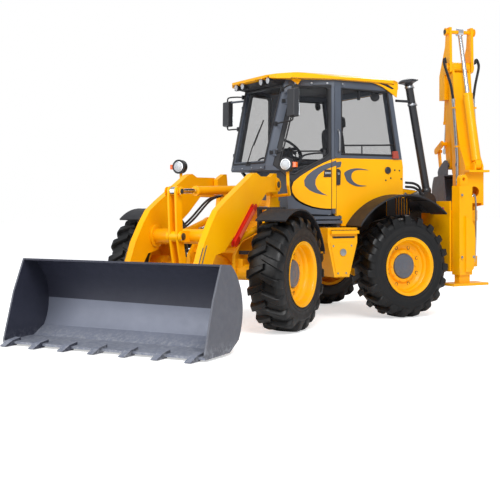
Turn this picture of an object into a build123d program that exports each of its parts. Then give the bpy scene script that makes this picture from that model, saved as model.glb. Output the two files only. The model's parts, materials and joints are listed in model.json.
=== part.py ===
from build123d import *
import os
from math import atan2, cos, degrees, hypot, radians, sin

# An articulated backhoe loader, in millimetres.  Every piece is drawn in the straight frame of
# what carries it: X forwards, Y to the driver's left, Z up, the ground at Z = 0.  The rear and
# front frames share an origin on the ground under the pivot between them, and the backhoe's
# frame has its origin on the ground under the swing post, with X along the boom.

# --- how the machine stands -------------------------------------------------------------------
STEER = 34.0               # front frame turned to the left
SWING = -105.0             # direction of the boom in the rear frame
POST_X, POST_Y = -2900.0, 740.0        # the swing post, with its slide at the left end
SEAT = 0.3                 # running clearance at pins, eyes and seats
GAP = 6.0                  # clearance between pieces that move past each other

# --- wheels -----------------------------------------------------------------------------------
FRONT_AXLE_X, REAR_AXLE_X = 1215.0, -1530.0
AXLE_Z = 660.0             # also the tyre's radius over its lugs
TRACK_HALF = 935.0
TYRE_WIDTH = 430.0
TREAD_DEPTH = 42.0
LUGS = 19                  # on each side of the tread
BEAD_R = 350.0
RIM_LIP_R = 376.0
CAP_R = 160.0
SPINDLE_R = 62.0
DRUM_R = 170.0             # brake drum at the end of the axle

# --- frames -----------------------------------------------------------------------------------
PIVOT_R = 45.0             # steering pivot pins
FRAME_HALF = 330.0         # outside of the front frame's side plates
PLATE = 40.0               # their thickness
TOWER_HALF = 385.0         # outside of the loader tower's ears
REAR_HALF = 340.0

# --- loader -----------------------------------------------------------------------------------
ARM_PIVOT = (520.0, 1700.0)
BUCKET_PIVOT = (2640.0, 250.0)
CRANK_PIVOT = (2120.0, 1100.0)
CRANK_LOW = (1998.0, 606.0)
CRANK_TOP = (2150.0, 1600.0)
BUCKET_LINK = (2717.0, 450.0)
TILT_BASE = (640.0, 1640.0)
LIFT_BASE = (640.0, 1250.0)
LIFT_EYE = (1560.0, 1040.0)
ARM_INNER, ARM_OUTER = 405.0, 480.0
EYE_PLANE, EYE_HALF = (ARM_INNER + ARM_OUTER) / 2, 15.0     # lift cylinders run under the arms
BUCKET_HALF = 1215.0
TEETH = 7
CHEEK = 20.0               # side plates of the bucket
STALK_R = 19.0             # bent tubes that carry the headlamps
PIN_R = 30.0
LINK_HALF = 28.0           # half the width of the eyes between the bellcrank's plates
LINK_GAP, LINK_OUT = LINK_HALF + GAP, LINK_HALF + GAP + 24

# --- cab --------------------------------------------------------------------------------------
SILL_Z, EAVES_Z, ROOF_Z = 1950.0, 3030.0, 3125.0
WALL = 45.0
FLOOR_Z = 1400.0

# --- backhoe, in its own frame ----------------------------------------------------------------
BOOM_FOOT = (200.0, 760.0)
BOOM_TOP = (375.0, 3400.0)
DIPPER_TAIL = (360.0, 3900.0)
DIPPER_END = (550.0, 2020.0)
LEVER_PIVOT = (620.0, 2328.0)
LEVER_TIP = (824.0, 2233.0)
# the lever, link and bucket form a parallelogram
HOE_LINK_PIN = (LEVER_TIP[0] + DIPPER_END[0] - LEVER_PIVOT[0], LEVER_TIP[1] + DIPPER_END[1] - LEVER_PIVOT[1])
DIPPER_HALF = 84.0         # half widths at the dipper's end, from the middle outwards
LINK_IN, EAR_IN, LEVER_IN, SIDE_PLATE = 91.0, 115.0, 139.0, 18.0
DIPPER_CYL_BASE = (-175.0, 1990.0)
BOOM_CYL_BASE = (155.0, 1079.0)
BOOM_CYL_EYE = (150.0, 2010.0)
BUCKET_CYL_BASE = (715.0, 3280.0)
BOOM_HALF = 138.0          # outside of the boom's side plates
RAIL_X = -2480.0           # centre of the rails that the carriage slides on
RAIL_LOW_Z, RAIL_HIGH_Z = 640.0, 1250.0

os.makedirs("parts", exist_ok=True)

FRAMES = {
    "rear": Location((0, 0, 0)),
    "front": Location((0, 0, 0), (0, 0, STEER)),
    "hoe": Location((POST_X, POST_Y, 0), (0, 0, SWING)),
}
pieces = []                # every finished piece: name, part, frame


def finish(builder, name, frame):
    """Notes a finished piece and the frame that it was drawn in."""
    pieces.append((name, builder, frame))


def slab(points, y_from, y_to, mode=Mode.ADD, shrink=0.0):
    """A closed outline (x, z) in side view, extruded across the machine."""
    with BuildSketch(Plane.XZ.offset(-y_to)) as outline:
        with BuildLine():
            Polyline(*points, close=True)
        make_face()
        if shrink:
            offset(amount=-shrink, kind=Kind.INTERSECTION, mode=Mode.REPLACE)
    extrude(outline.sketch, amount=y_to - y_from, mode=mode)


def plan_slab(points, z_from, z_to, mode=Mode.ADD):
    """A closed outline (x, y) in plan, extruded upwards."""
    with BuildSketch(Plane.XY.offset(z_from)) as outline:
        with BuildLine():
            Polyline(*points, close=True)
        make_face()
    extrude(outline.sketch, amount=z_to - z_from, mode=mode)


def cross_slab(points, x_from, x_to, mode=Mode.ADD, shrink=0.0):
    """A closed outline (y, z) seen from the front, extruded along the machine."""
    with BuildSketch(Plane.YZ.offset(x_from)) as outline:
        with BuildLine():
            Polyline(*points, close=True)
        make_face()
        if shrink:
            offset(amount=-shrink, kind=Kind.INTERSECTION, mode=Mode.REPLACE)
    extrude(outline.sketch, amount=x_to - x_from, mode=mode)


def block(x_from, x_to, y_from, y_to, z_from, z_to, mode=Mode.ADD):
    with Locations(((x_from + x_to) / 2, (y_from + y_to) / 2, (z_from + z_to) / 2)):
        Box(x_to - x_from, y_to - y_from, z_to - z_from, mode=mode)


def cross_round(at, radius, y_from, y_to, mode=Mode.ADD):
    """A round piece or hole across the machine at (x, z)."""
    with BuildSketch(Plane.XZ.offset(-y_to)) as outline:
        with Locations(at):
            Circle(radius)
    extrude(outline.sketch, amount=y_to - y_from, mode=mode)


def bar(start, end, radius, mode=Mode.ADD):
    """A round bar between two points in space."""
    run = Vector(*end) - Vector(*start)
    with BuildSketch(Plane(origin=start, z_dir=run)) as outline:
        Circle(radius)
    extrude(outline.sketch, amount=run.length, mode=mode)


def link_plate(first, second, radius, y_from, y_to, mode=Mode.ADD):
    """A flat link between two pins (x, z), round at both ends."""
    with BuildSketch(Plane.XZ.offset(-y_to)) as outline:
        with Locations(Location(((first[0] + second[0]) / 2, (first[1] + second[1]) / 2, 0),
                                (0, 0, angle(first, second)))):
            SlotCenterToCenter(reach(first, second), 2 * radius)
    extrude(outline.sketch, amount=y_to - y_from, mode=mode)


def angle(start, end):
    """Slope of the line from start to end, in degrees."""
    return degrees(atan2(end[1] - start[1], end[0] - start[0]))


def reach(start, end):
    return hypot(end[0] - start[0], end[1] - start[1])


def along(start, end, distance):
    """The point at a distance from start towards end."""
    share = distance / reach(start, end)
    return (start[0] + share * (end[0] - start[0]), start[1] + share * (end[1] - start[1]))


# === wheels ===================================================================================
# A wheel is drawn with its axis along Z, its outer side upwards, and its centre at the origin.
TREAD_R = AXLE_Z - TREAD_DEPTH
HALF_WIDTH = TYRE_WIDTH / 2
HUB_IN, HUB_OUT = -58.0, 96.0


def ring(radius, z):
    """One many-sided outline of the tyre, with a flat side for each lug."""
    with BuildSketch(Plane.XY.offset(z)) as outline:
        RegularPolygon(radius, 2 * LUGS, major_radius=False, rotation=90 / LUGS)
    return outline.sketch.face()


def build_tyre(turn):
    """A tyre with slanting lugs; turn is +1 or -1, the hand of its tread."""
    wall_r, lug_root_r = 512, TREAD_R - 80
    with BuildPart() as lug:
        with BuildSketch(Plane.YZ.offset(lug_root_r)):
            with BuildLine():
                Polyline((-12 * turn - 34, -14), (-12 * turn + 34, -14),
                         (70 * turn + 34, HALF_WIDTH - 16), (70 * turn - 34, HALF_WIDTH - 16),
                         close=True)
            make_face()
        extrude(amount=TREAD_R + TREAD_DEPTH - lug_root_r)
    with BuildPart() as tyre:
        loft([ring(radius, z) for radius, z in
              ((wall_r, -HALF_WIDTH), (TREAD_R, -150), (TREAD_R, 150), (wall_r, HALF_WIDTH))], ruled=True)
        with PolarLocations(0, LUGS):
            add(lug.part)
        with PolarLocations(0, LUGS, start_angle=180 / LUGS):
            add(mirror(lug.part, about=Plane.XY, mode=Mode.PRIVATE))
        for hand in (1, -1):
            loft([ring(radius, hand * z) for radius, z in
                  ((wall_r, HALF_WIDTH), (BEAD_R, 180))],
                 ruled=True, mode=Mode.SUBTRACT)
        extrude(ring(BEAD_R, -HALF_WIDTH), amount=TYRE_WIDTH, mode=Mode.SUBTRACT)
    return tyre


def build_rim():
    """A dished rim with its hub and cap, bored for the axle's spindle."""
    with BuildPart() as rim:
        with BuildSketch(Plane.XZ):
            with BuildLine():
                Polyline((BEAD_R - SEAT, -184), (RIM_LIP_R, -206), (RIM_LIP_R, -214), (BEAD_R - 12, -200),
                         (BEAD_R - 22, -150), (BEAD_R - 22, 20), (CAP_R, 55), (CAP_R, HUB_IN),
                         (SPINDLE_R + SEAT, HUB_IN), (SPINDLE_R + SEAT, 30), (0, 30), (0, HUB_OUT),
                         (CAP_R - 12, HUB_OUT), (CAP_R, HUB_OUT - 12), (CAP_R, 80), (BEAD_R - 22, 48),
                         (BEAD_R - 22, 150), (BEAD_R - 12, 200), (RIM_LIP_R, 214), (RIM_LIP_R, 206),
                         (BEAD_R - SEAT, 184), close=True)
            make_face()
        revolve(axis=Axis.Z)
    return rim


for end, axle_x, frame in (("front", FRONT_AXLE_X, "front"), ("rear", REAR_AXLE_X, "rear")):
    for side, hand in (("left", 1), ("right", -1)):
        wheel = f"{end}_{side}_wheel"
        FRAMES[wheel] = FRAMES[frame] * Location((axle_x, hand * TRACK_HALF, AXLE_Z), (-90 * hand, 0, 0))
        finish(build_tyre(hand), f"{end}_{side}_tyre", wheel)
        finish(build_rim(), f"{end}_{side}_rim", wheel)


def build_axle(axle_x, name, frame):
    """A rigid axle with its differential, brake drums and spindles."""
    hub_face = TRACK_HALF + HUB_IN - GAP
    with BuildPart() as axle:
        cross_round((axle_x, AXLE_Z), 95, -hub_face, hub_face)
        with Locations((axle_x, 0, AXLE_Z)):
            Sphere(205)
        for hand in (1, -1):
            low, high = sorted((hand * (hub_face - 190), hand * hub_face))
            cross_round((axle_x, AXLE_Z), DRUM_R, low, high)
            low, high = sorted((hand * (hub_face - 1), hand * (TRACK_HALF + 28)))
            cross_round((axle_x, AXLE_Z), SPINDLE_R, low, high)
            block(axle_x - 75, axle_x + 75, *sorted((hand * 290, hand * 400)), AXLE_Z, AXLE_Z + 160)
    finish(axle, name, frame)


# === rear frame ===============================================================================
with BuildPart() as rear_chassis:
    rear_side = ((-330, 700), (-330, 1080), (-600, 1180), (-2300, 1180), (-2300, 830), (-1000, 700))
    for hand in (1, -1):
        slab(rear_side, *sorted((hand * (REAR_HALF - PLATE), hand * REAR_HALF)))
    for x in (-380, -1000, -2260):
        block(x - 30, x + 30, -REAR_HALF + 5, REAR_HALF - 5, 760, 1060)
    # the yoke that holds the steering pivot, two lugs at each height
    for low in (560, 1000):
        for z in (low, low + 130):
            plan_slab(((-380, -160), (-380, 160), (0, 85), (60, 60), (85, 0), (60, -60), (0, -85)), z, z + 50)
    block(-410, -330, -200, 200, 560, 1180)
    with BuildSketch(Plane.XY.offset(540)) as pins:
        Circle(PIVOT_R)
    extrude(pins.sketch, amount=660)
    block(REAR_AXLE_X - 102, REAR_AXLE_X + 102, -400, 400, 500, AXLE_Z + 160 + SEAT, mode=Mode.SUBTRACT)
    # posts that carry the cab's floor
    for x in (-450, -1100):
        for hand in (1, -1):
            block(x - 50, x + 50, *sorted((hand * (REAR_HALF - PLATE), hand * REAR_HALF)), 1100,
                  FLOOR_Z - 60 - SEAT)
finish(rear_chassis, "rear_chassis", "rear")

build_axle(REAR_AXLE_X, "rear_axle", "rear")

with BuildPart() as engine:
    block(-2200, -1250, -REAR_HALF + PLATE + SEAT, REAR_HALF - PLATE - SEAT, 900, 1560)
finish(engine, "engine", "rear")

with BuildPart() as hood:
    slab(((-1640, 1190), (-1640, 1690), (-2150, 1640), (-2225, 1565), (-2225, 1190)), -500, 500)
    slab(((-1600, 1150), (-1600, 1678), (-2144, 1628), (-2213, 1560), (-2213, 1150)), -488, 488, mode=Mode.SUBTRACT)
    for hand in (1, -1):
        block(-2060, -1700, *sorted((hand * (REAR_HALF - PLATE), hand * 500)), 1180 + SEAT, 1191)
        for i in range(6):
            block(-1800 - 45 * i, -1780 - 45 * i, *sorted((hand * 480, hand * 520)), 1320, 1540, mode=Mode.SUBTRACT)
    for i in range(7):
        block(-2240, -2205, -400, 400, 1245 + 42 * i, 1265 + 42 * i, mode=Mode.SUBTRACT)
    # the bracket of the exhaust's drum passes through the side
    block(-2170, -2050, REAR_HALF - 60, 520, 1360, 1520, mode=Mode.SUBTRACT)
finish(hood, "engine_hood", "rear")

with BuildPart() as slide_frame:
    # two posts with the rails between them, and the sleeves of the stabilizer legs
    for hand in (1, -1):
        block(-2420, -2300, *sorted((hand * (REAR_HALF - 120), hand * REAR_HALF)), 560, 1500)
        block(-2330, -2300, *sorted((hand * 330, hand * 1000)), 560, 1500)
    for z in (RAIL_LOW_Z, RAIL_HIGH_Z):
        block(-2520, -2440, -1000, 1000, z - 60, z + 60)
        for hand in (1, -1):
            block(-2450, -2300, *sorted((hand * 300, hand * 420)), z - 60, z + 60)
    for hand in (1, -1):
        block(-2560, -2340, *sorted((hand * 999, hand * 1150)), 520, 1700)
        block(-2540, -2360, *sorted((hand * 1025, hand * 1125)), 500, 1655, mode=Mode.SUBTRACT)
        link_plate((-2450, 1790), (-2450, 1722), 62, *sorted((hand * 1040, hand * 1110)))
        cross_round((-2450, 1790), 26, *sorted((hand * 1030, hand * 1120)), mode=Mode.SUBTRACT)
        slab(((-2430, 1300), (-2520, 1255), (-2575, 1170), (-2592, 980), (-2585, 760), (-2560, 600),
              (-2500, 560), (-2430, 560)), *sorted((hand * 1149, hand * 1178)))
finish(slide_frame, "slide_frame", "rear")

with BuildPart() as mudguards:
    with BuildSketch(Plane.XZ.offset(-1120)) as arch:
        with Locations((REAR_AXLE_X, AXLE_Z)):
            Circle(925)
            Circle(905, mode=Mode.SUBTRACT)
        with BuildLine():
            Polyline((REAR_AXLE_X, AXLE_Z), (REAR_AXLE_X + 1600, AXLE_Z + 1120), (REAR_AXLE_X + 1600, 3000),
                     (REAR_AXLE_X - 1300, 3000), (REAR_AXLE_X - 1300, AXLE_Z + 1400), close=True)
        make_face(mode=Mode.INTERSECT)
    extrude(arch.sketch, amount=320 - SEAT)
    mirror(about=Plane.XZ)
finish(mudguards, "rear_mudguards", "rear")

with BuildPart() as tanks:
    tank = ((-370, 1165), (-810, 1165), (-810, 980), (-690, 550), (-470, 550), (-370, 980))
    for hand in (1, -1):
        slab(tank, *sorted((hand * (REAR_HALF + SEAT), hand * 1000)))
        block(-810, -400, *sorted((hand * 999, hand * 1045)), 1090, 1130)
finish(tanks, "step_tanks", "rear")

# === cab ======================================================================================
# corners in plan, left side: nose, door post, rear; below the sill and at the eaves
SILL_PLAN = ((210, 465), (-600, 800), (-1680, 800))
EAVES_PLAN = ((-40, 530), (-600, 795), (-1505, 770))


def cab_outline(corners, inset):
    """A closed plan outline from the left side's corners, moved inwards by inset."""
    nose, post, rear = corners
    left = [(nose[0] - inset, nose[1] - 0.62 * inset), (post[0], post[1] - 1.02 * inset),
            (rear[0] + inset, rear[1] - inset)]
    return left + [(x, -y) for x, y in reversed(left)]


def cab_walls(outside, inside, low_z):
    """The cab's walls as a shell between two insets, upright below the sill and leaning above."""
    for inset, mode in ((outside, Mode.ADD), (inside, Mode.SUBTRACT)):
        faces = []
        for z, corners in ((SILL_Z, SILL_PLAN), (EAVES_Z, EAVES_PLAN)):
            with BuildSketch(Plane.XY.offset(z)) as level:
                with BuildLine():
                    Polyline(*cab_outline(corners, inset), close=True)
                make_face()
            faces.append(level.sketch.face())
        loft(faces, ruled=True, mode=mode)
        extrude(faces[0], amount=low_z - SILL_Z, mode=mode)


BELT_Z = 2043.0            # where the yellow side panels meet the cab's frame
NOSE_Z = 1885.0            # underside of the cab's nose, over the loader tower
QUARTER = ((-690, 2085), (-690, 2935), (-1450, 2935), (-1585, 2085))
DOOR_GLASS = ((62, 1945), (-165, 2925), (-530, 2925), (-530, 2070), (-420, 2010), (-250, 1925), (-95, 1825))
DOOR_EDGE = ((125, 1950), (-118, 2970), (-568, 2970), (-568, 1392), (-455, 1398), (-345, 1420), (-240, 1460),
             (-155, 1515), (-98, 1585), (-85, 1660), (-105, 1735), (-50, 1800), (20, 1865))
SCREEN = ((-405, 2010), (-465, 2950), (465, 2950), (405, 2010))
ROOF_LAMPS = (-430, -250, 250, 430)
BACKLIGHT = ((-640, 2085), (-620, 2930), (620, 2930), (640, 2085))

HINGE_HEIGHTS = (2110, 2760)
HINGE_PIN_R = 7.0


def wall_point(z_edge, ahead, out, hand, z=None):
    """A point on the slanting side wall: ahead of the door's front edge, and out from the wall."""
    z = z_edge if z is None else z
    (nose_x, nose_y), (post_x, post_y) = (
        [low + (high - low) * (z - SILL_Z) / (EAVES_Z - SILL_Z) for low, high in zip(SILL_PLAN[i], EAVES_PLAN[i])]
        for i in (0, 1))
    (x_low, z_low), (x_high, z_high) = DOOR_EDGE[0], DOOR_EDGE[1]
    x = x_low + (x_high - x_low) * (z - z_low) / (z_high - z_low) + ahead
    y = nose_y + (post_y - nose_y) * (nose_x - x) / (nose_x - post_x)
    run = hypot(nose_x - post_x, post_y - nose_y)
    return (x + out * (post_y - nose_y) / run, hand * (y + out * (nose_x - post_x) / run), z)


def hinge_point(z, hand):
    """A point on the door's hinge line, which leans with the front post."""
    (x0, y0, z0), (x1, y1, z1) = wall_point(2000, -3, 20, hand), wall_point(2900, -3, 20, hand)
    share = (z - z0) / (z1 - z0)
    return (x0 + share * (x1 - x0), y0 + share * (y1 - y0), z)


with BuildPart() as cab_frame:
    cab_walls(0, WALL, NOSE_Z)
    # nothing below the belt behind the door posts, and no wall where the doors hang
    block(-1800, -620, -900, 900, NOSE_Z - 5, BELT_Z, mode=Mode.SUBTRACT)
    for low, high in ((200, 900), (-900, -200)):
        slab(DOOR_EDGE, low, high, mode=Mode.SUBTRACT)
        slab(QUARTER, low, high, mode=Mode.SUBTRACT)
    cross_slab(SCREEN, -80, 300, mode=Mode.SUBTRACT)
    cross_slab(BACKLIGHT, -1800, -1440, mode=Mode.SUBTRACT)
    # the floor, the toe board, the nose's floor and the door posts' feet
    plan_slab(((-170, 540), (-560, 705), (-1180, 745), (-1180, -745), (-560, -705), (-170, -540)),
              FLOOR_Z - 60, FLOOR_Z)
    block(-210, -170, -540, 540, FLOOR_Z - 5, NOSE_Z + 10)
    plan_slab(((170, 440), (-210, 580), (-210, -580), (170, -440)), NOSE_Z, NOSE_Z + 18)
    for hand in (1, -1):
        block(-620, -575, *sorted((hand * 700, hand * 795)), FLOOR_Z - 60, BELT_Z + 10)
    for hand in (1, -1):
        # mirrors on their arms, and the fixed halves of the door hinges
        bar((-45, hand * 530, 2860), (60, hand * 860, 2860), 14)
        block(30, 90, *sorted((hand * 800, hand * 960)), 2540, 2870)
        for z in HINGE_HEIGHTS:
            for low, high in ((z - 46, z - 27), (z + 27, z + 46)):
                bar(hinge_point(low, hand), hinge_point(high, hand), 13)
                bar(hinge_point((low + high) / 2, hand), wall_point(z, 50, -8, hand, (low + high) / 2), 8)
            bar(hinge_point(z - 40, hand), hinge_point(z + 40, hand), HINGE_PIN_R)
finish(cab_frame, "cab_frame", "rear")

with BuildPart() as panels:
    cab_walls(0, WALL, 1180)
    block(-620 - SEAT, 400, -900, 900, 1000, 3200, mode=Mode.SUBTRACT)
    block(-1800, 400, -900, 900, BELT_Z - SEAT, 3200, mode=Mode.SUBTRACT)
    block(-700, -600, -900, 900, 1000, 1310, mode=Mode.SUBTRACT)
    cross_round((REAR_AXLE_X, AXLE_Z), 905, -900, 900, mode=Mode.SUBTRACT)
    block(-1800, -1600, -600, 600, 1000, 1700, mode=Mode.SUBTRACT)
finish(panels, "side_panels", "rear")

with BuildPart() as cab_glass:
    cab_walls(18, 24, 1380)
    with BuildPart(mode=Mode.PRIVATE) as openings:
        for low, high in ((200, 900), (-900, -200)):
            slab(QUARTER, low, high, shrink=SEAT)
        cross_slab(SCREEN, -80, 300, shrink=SEAT)
        cross_slab(BACKLIGHT, -1800, -1440, shrink=SEAT)
    add(openings.part, mode=Mode.INTERSECT)
finish(cab_glass, "cab_glass", "rear")

for side, hand in (("left", 1), ("right", -1)):
    reach_y = sorted((hand * 200, hand * 900))
    with BuildPart() as door:
        cab_walls(0, WALL - 5, 1380)
        slab(DOOR_EDGE, *reach_y, mode=Mode.INTERSECT, shrink=GAP)
        slab(DOOR_GLASS, *reach_y, mode=Mode.SUBTRACT)
        for z in HINGE_HEIGHTS:
            bar(hinge_point(z - 24, hand), hinge_point(z + 24, hand), 13)
            bar(hinge_point(z, hand), wall_point(z, -60, -10, hand), 9)
            bar(hinge_point(z - 30, hand), hinge_point(z + 30, hand), HINGE_PIN_R + SEAT, mode=Mode.SUBTRACT)
    finish(door, f"{side}_door", "rear")
    with BuildPart() as pane:
        cab_walls(18, 24, 1380)
        slab(DOOR_GLASS, *reach_y, mode=Mode.INTERSECT, shrink=SEAT)
    finish(pane, f"{side}_door_glass", "rear")

ROOF_PLAN = ((200, 470), (130, 600), (-40, 690), (-600, 842), (-1500, 826), (-1655, 730))
with BuildPart() as roof:
    # crowned along the cab, with a visor in front and a tail that turns down behind it
    with BuildSketch(Plane.XZ.offset(-900)) as crown:
        with BuildLine():
            Polyline((200, EAVES_Z + 52), (200, EAVES_Z + 18), (120, EAVES_Z + SEAT), (-1530, EAVES_Z + SEAT),
                     (-1548, EAVES_Z - 105), (-1655, EAVES_Z - 50), (-1640, EAVES_Z + 42))
            ThreePointArc((-1640, EAVES_Z + 42), (-650, ROOF_Z), (200, EAVES_Z + 52))
        make_face()
    extrude(crown.sketch, amount=1800)
    with BuildSketch(Plane.XY.offset(EAVES_Z - 150)) as plan:
        with BuildLine():
            Polyline(*ROOF_PLAN, *[(x, -y) for x, y in reversed(ROOF_PLAN)], close=True)
        make_face()
    extrude(plan.sketch, amount=400, mode=Mode.INTERSECT)
    for hand in (1, -1):
        cross_slab(((hand * 600, ROOF_Z + 8), (hand * 745, ROOF_Z - 26), (hand * 860, EAVES_Z + 34),
                    (hand * 860, EAVES_Z + 200), (hand * 600, EAVES_Z + 200)), -1700, 300, mode=Mode.SUBTRACT)
    for y in ROOF_LAMPS:
        block(90, 210, y - 75, y + 75, EAVES_Z - 5, EAVES_Z + 40, mode=Mode.SUBTRACT)
finish(roof, "cab_roof", "rear")

with BuildPart() as roof_lamps:
    for y in ROOF_LAMPS:
        block(91, 150, y - 62, y + 62, EAVES_Z - 48, EAVES_Z + 40 - SEAT)
    for y in (-560, 560):
        block(-1715, -1655 - SEAT, y - 60, y + 60, EAVES_Z - 50, EAVES_Z + 25)
finish(roof_lamps, "roof_lamps", "rear")

with BuildPart() as seat:
    block(-1060, -700, -170, 170, FLOOR_Z + SEAT, 1740)
    block(-1120, -620, -250, 250, 1730, 1860)
    slab(((-1180, 1850), (-1060, 1850), (-1140, 2500), (-1230, 2500)), -230, 230)
finish(seat, "seat", "rear")

with BuildPart() as console:
    slab(((-260, FLOOR_Z + SEAT), (-215, FLOOR_Z + SEAT), (-215, 2060), (-330, 2120), (-420, 2050)), -150, 150)
    bar((-330, 0, 2080), (-420, 0, 2180), 22)
    with BuildSketch(Plane(origin=(-420, 0, 2180), x_dir=(0, 1, 0), z_dir=(-90, 0, 100))):
        Circle(190)
        Circle(166, mode=Mode.SUBTRACT)
        Rectangle(350, 30)
        Circle(34)
    extrude(amount=24)
finish(console, "steering_console", "rear")

with BuildPart() as exhaust:
    stack_low, stack_high = Vector(-2150, 700, 1640), Vector(-1850, 700, 3060)
    lean = (stack_high - stack_low).normalized()
    bar(stack_low, stack_high, 52)
    for share in (0.80, 0.965):
        ring_low = stack_low + lean * (share * (stack_high - stack_low).length)
        bar(ring_low, ring_low + lean * 28, 58)
    cap_faces = []
    for rise, radius in ((0, 60), (28, 132), (44, 128), (78, 52)):
        with BuildSketch(Plane(origin=stack_high + lean * rise, z_dir=lean)) as level:
            Circle(radius)
        cap_faces.append(level.sketch.face())
    loft(cap_faces, ruled=True)
    # the elbow into the drum, which lies across behind the mudguard
    with Locations(stack_low):
        Sphere(66)
    bar(stack_low, (-2120, 690, 1500), 60)
    cross_round((-2110, 1480), 140, 540, 786)
    cross_round((-2110, 1480), 126, 780, 799)
    bar((-1905, 700, 2830), (-1640, 700, 2830), 18)
    block(-2110 - 40, -2110 + 40, REAR_HALF - 20, 545, 1380, 1500)
    block(-2110 - 40, -2110 + 40, REAR_HALF - PLATE, REAR_HALF, 1180 + SEAT, 1500)
finish(exhaust, "exhaust_stack", "rear")

# === front frame ==============================================================================
with BuildPart() as front_chassis:
    side = ((150, 620), (1340, 640), (1340, 860), (1180, 1010), (760, 1100), (150, 1100))
    tower = ((190, 1000), (300, 1500), (360, 1842), (430, 1842), (600, 1770), (600, 1640), (530, 1560),
             (560, 1400), (740, 1260), (740, 1000))
    for hand in (1, -1):
        slab(side, *sorted((hand * (FRAME_HALF - PLATE), hand * FRAME_HALF)))
        slab(tower, *sorted((hand * (FRAME_HALF - 1), hand * TOWER_HALF)))
        cross_round(ARM_PIVOT, 40, *sorted((hand * (FRAME_HALF + 5), hand * (ARM_OUTER + 14))))
        cross_round(ARM_PIVOT, 62, *sorted((hand * (ARM_OUTER + 2), hand * (ARM_OUTER + 14))))
        cross_round(LIFT_BASE, 30, *sorted((hand * (FRAME_HALF + 5), hand * (ARM_OUTER + 8))))
    block(FRONT_AXLE_X - 102, FRONT_AXLE_X + 102, -400, 400, 500, AXLE_Z + 160 + SEAT, mode=Mode.SUBTRACT)
    cross_round((430, 1450), 60, -FRAME_HALF, FRAME_HALF)
    block(700, 740, -FRAME_HALF, FRAME_HALF, 1000, 1250)
    block(880, 1240, -FRAME_HALF + PLATE / 2, FRAME_HALF - PLATE / 2, 880, 920)
    block(150, 190, -FRAME_HALF, FRAME_HALF, 620, 1500)
    # two ears for the tilt cylinder
    for hand in (1, -1):
        slab(((180, 1400), (420, 1440), (640, 1590), (676, 1610), (680, 1665), (640, 1690), (180, 1500)),
             *sorted((hand * LINK_GAP, hand * LINK_OUT)))
    cross_round(TILT_BASE, PIN_R, -LINK_OUT, LINK_OUT)
    # lugs of the steering pivot, inside the rear frame's yoke
    for low in (615, 1055):
        plan_slab(((170, -160), (0, -80), (-60, -55), (-80, 0), (-60, 55), (0, 80), (170, 160)),
                  low + 1, low + 69)
        with BuildSketch(Plane.XY.offset(low)) as bore:
            Circle(PIVOT_R + SEAT)
        extrude(bore.sketch, amount=80, mode=Mode.SUBTRACT)
finish(front_chassis, "front_chassis", "front")

build_axle(FRONT_AXLE_X, "front_axle", "front")

with BuildPart() as fenders:
    with BuildSketch(Plane.XZ.offset(-1110)) as arch:
        with Locations((FRONT_AXLE_X, AXLE_Z)):
            Circle(745)
            Circle(727, mode=Mode.SUBTRACT)
        with BuildLine():
            Polyline((FRONT_AXLE_X, AXLE_Z), (FRONT_AXLE_X + 800, AXLE_Z + 1200), (0, 2200), (0, AXLE_Z + 400),
                     close=True)
        make_face(mode=Mode.INTERSECT)
    extrude(arch.sketch, amount=370)
    block(FRONT_AXLE_X - 40, FRONT_AXLE_X + 40, 570, 900, AXLE_Z + 735, AXLE_Z + 765)
    block(FRONT_AXLE_X - 40, FRONT_AXLE_X + 40, 570, 600, 880, AXLE_Z + 765)
    block(FRONT_AXLE_X - 40, FRONT_AXLE_X + 40, FRAME_HALF + SEAT, 600, 870, 910)
    mirror(about=Plane.XZ)
finish(fenders, "front_fenders", "front")

with BuildPart() as headlamps:
    stalk = ((480, TOWER_HALF + SEAT, 1560), (480, TOWER_HALF + 40, 1560), (700, 725, 1575),
             (790, 749, 1690), (805, 749, 1900))
    for start, end in zip(stalk, stalk[1:]):
        bar(start, end, STALK_R)
        with Locations(end):
            Sphere(STALK_R)
    bar((780, 749, 1933), (856, 749, 1933), 85)
    bar((740, 749, 1933), (781, 749, 1933), 60)
    block(800, 850, 833, 880, 1900, 1960)
    mirror(about=Plane.XZ)
finish(headlamps, "headlamps", "front")

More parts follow.
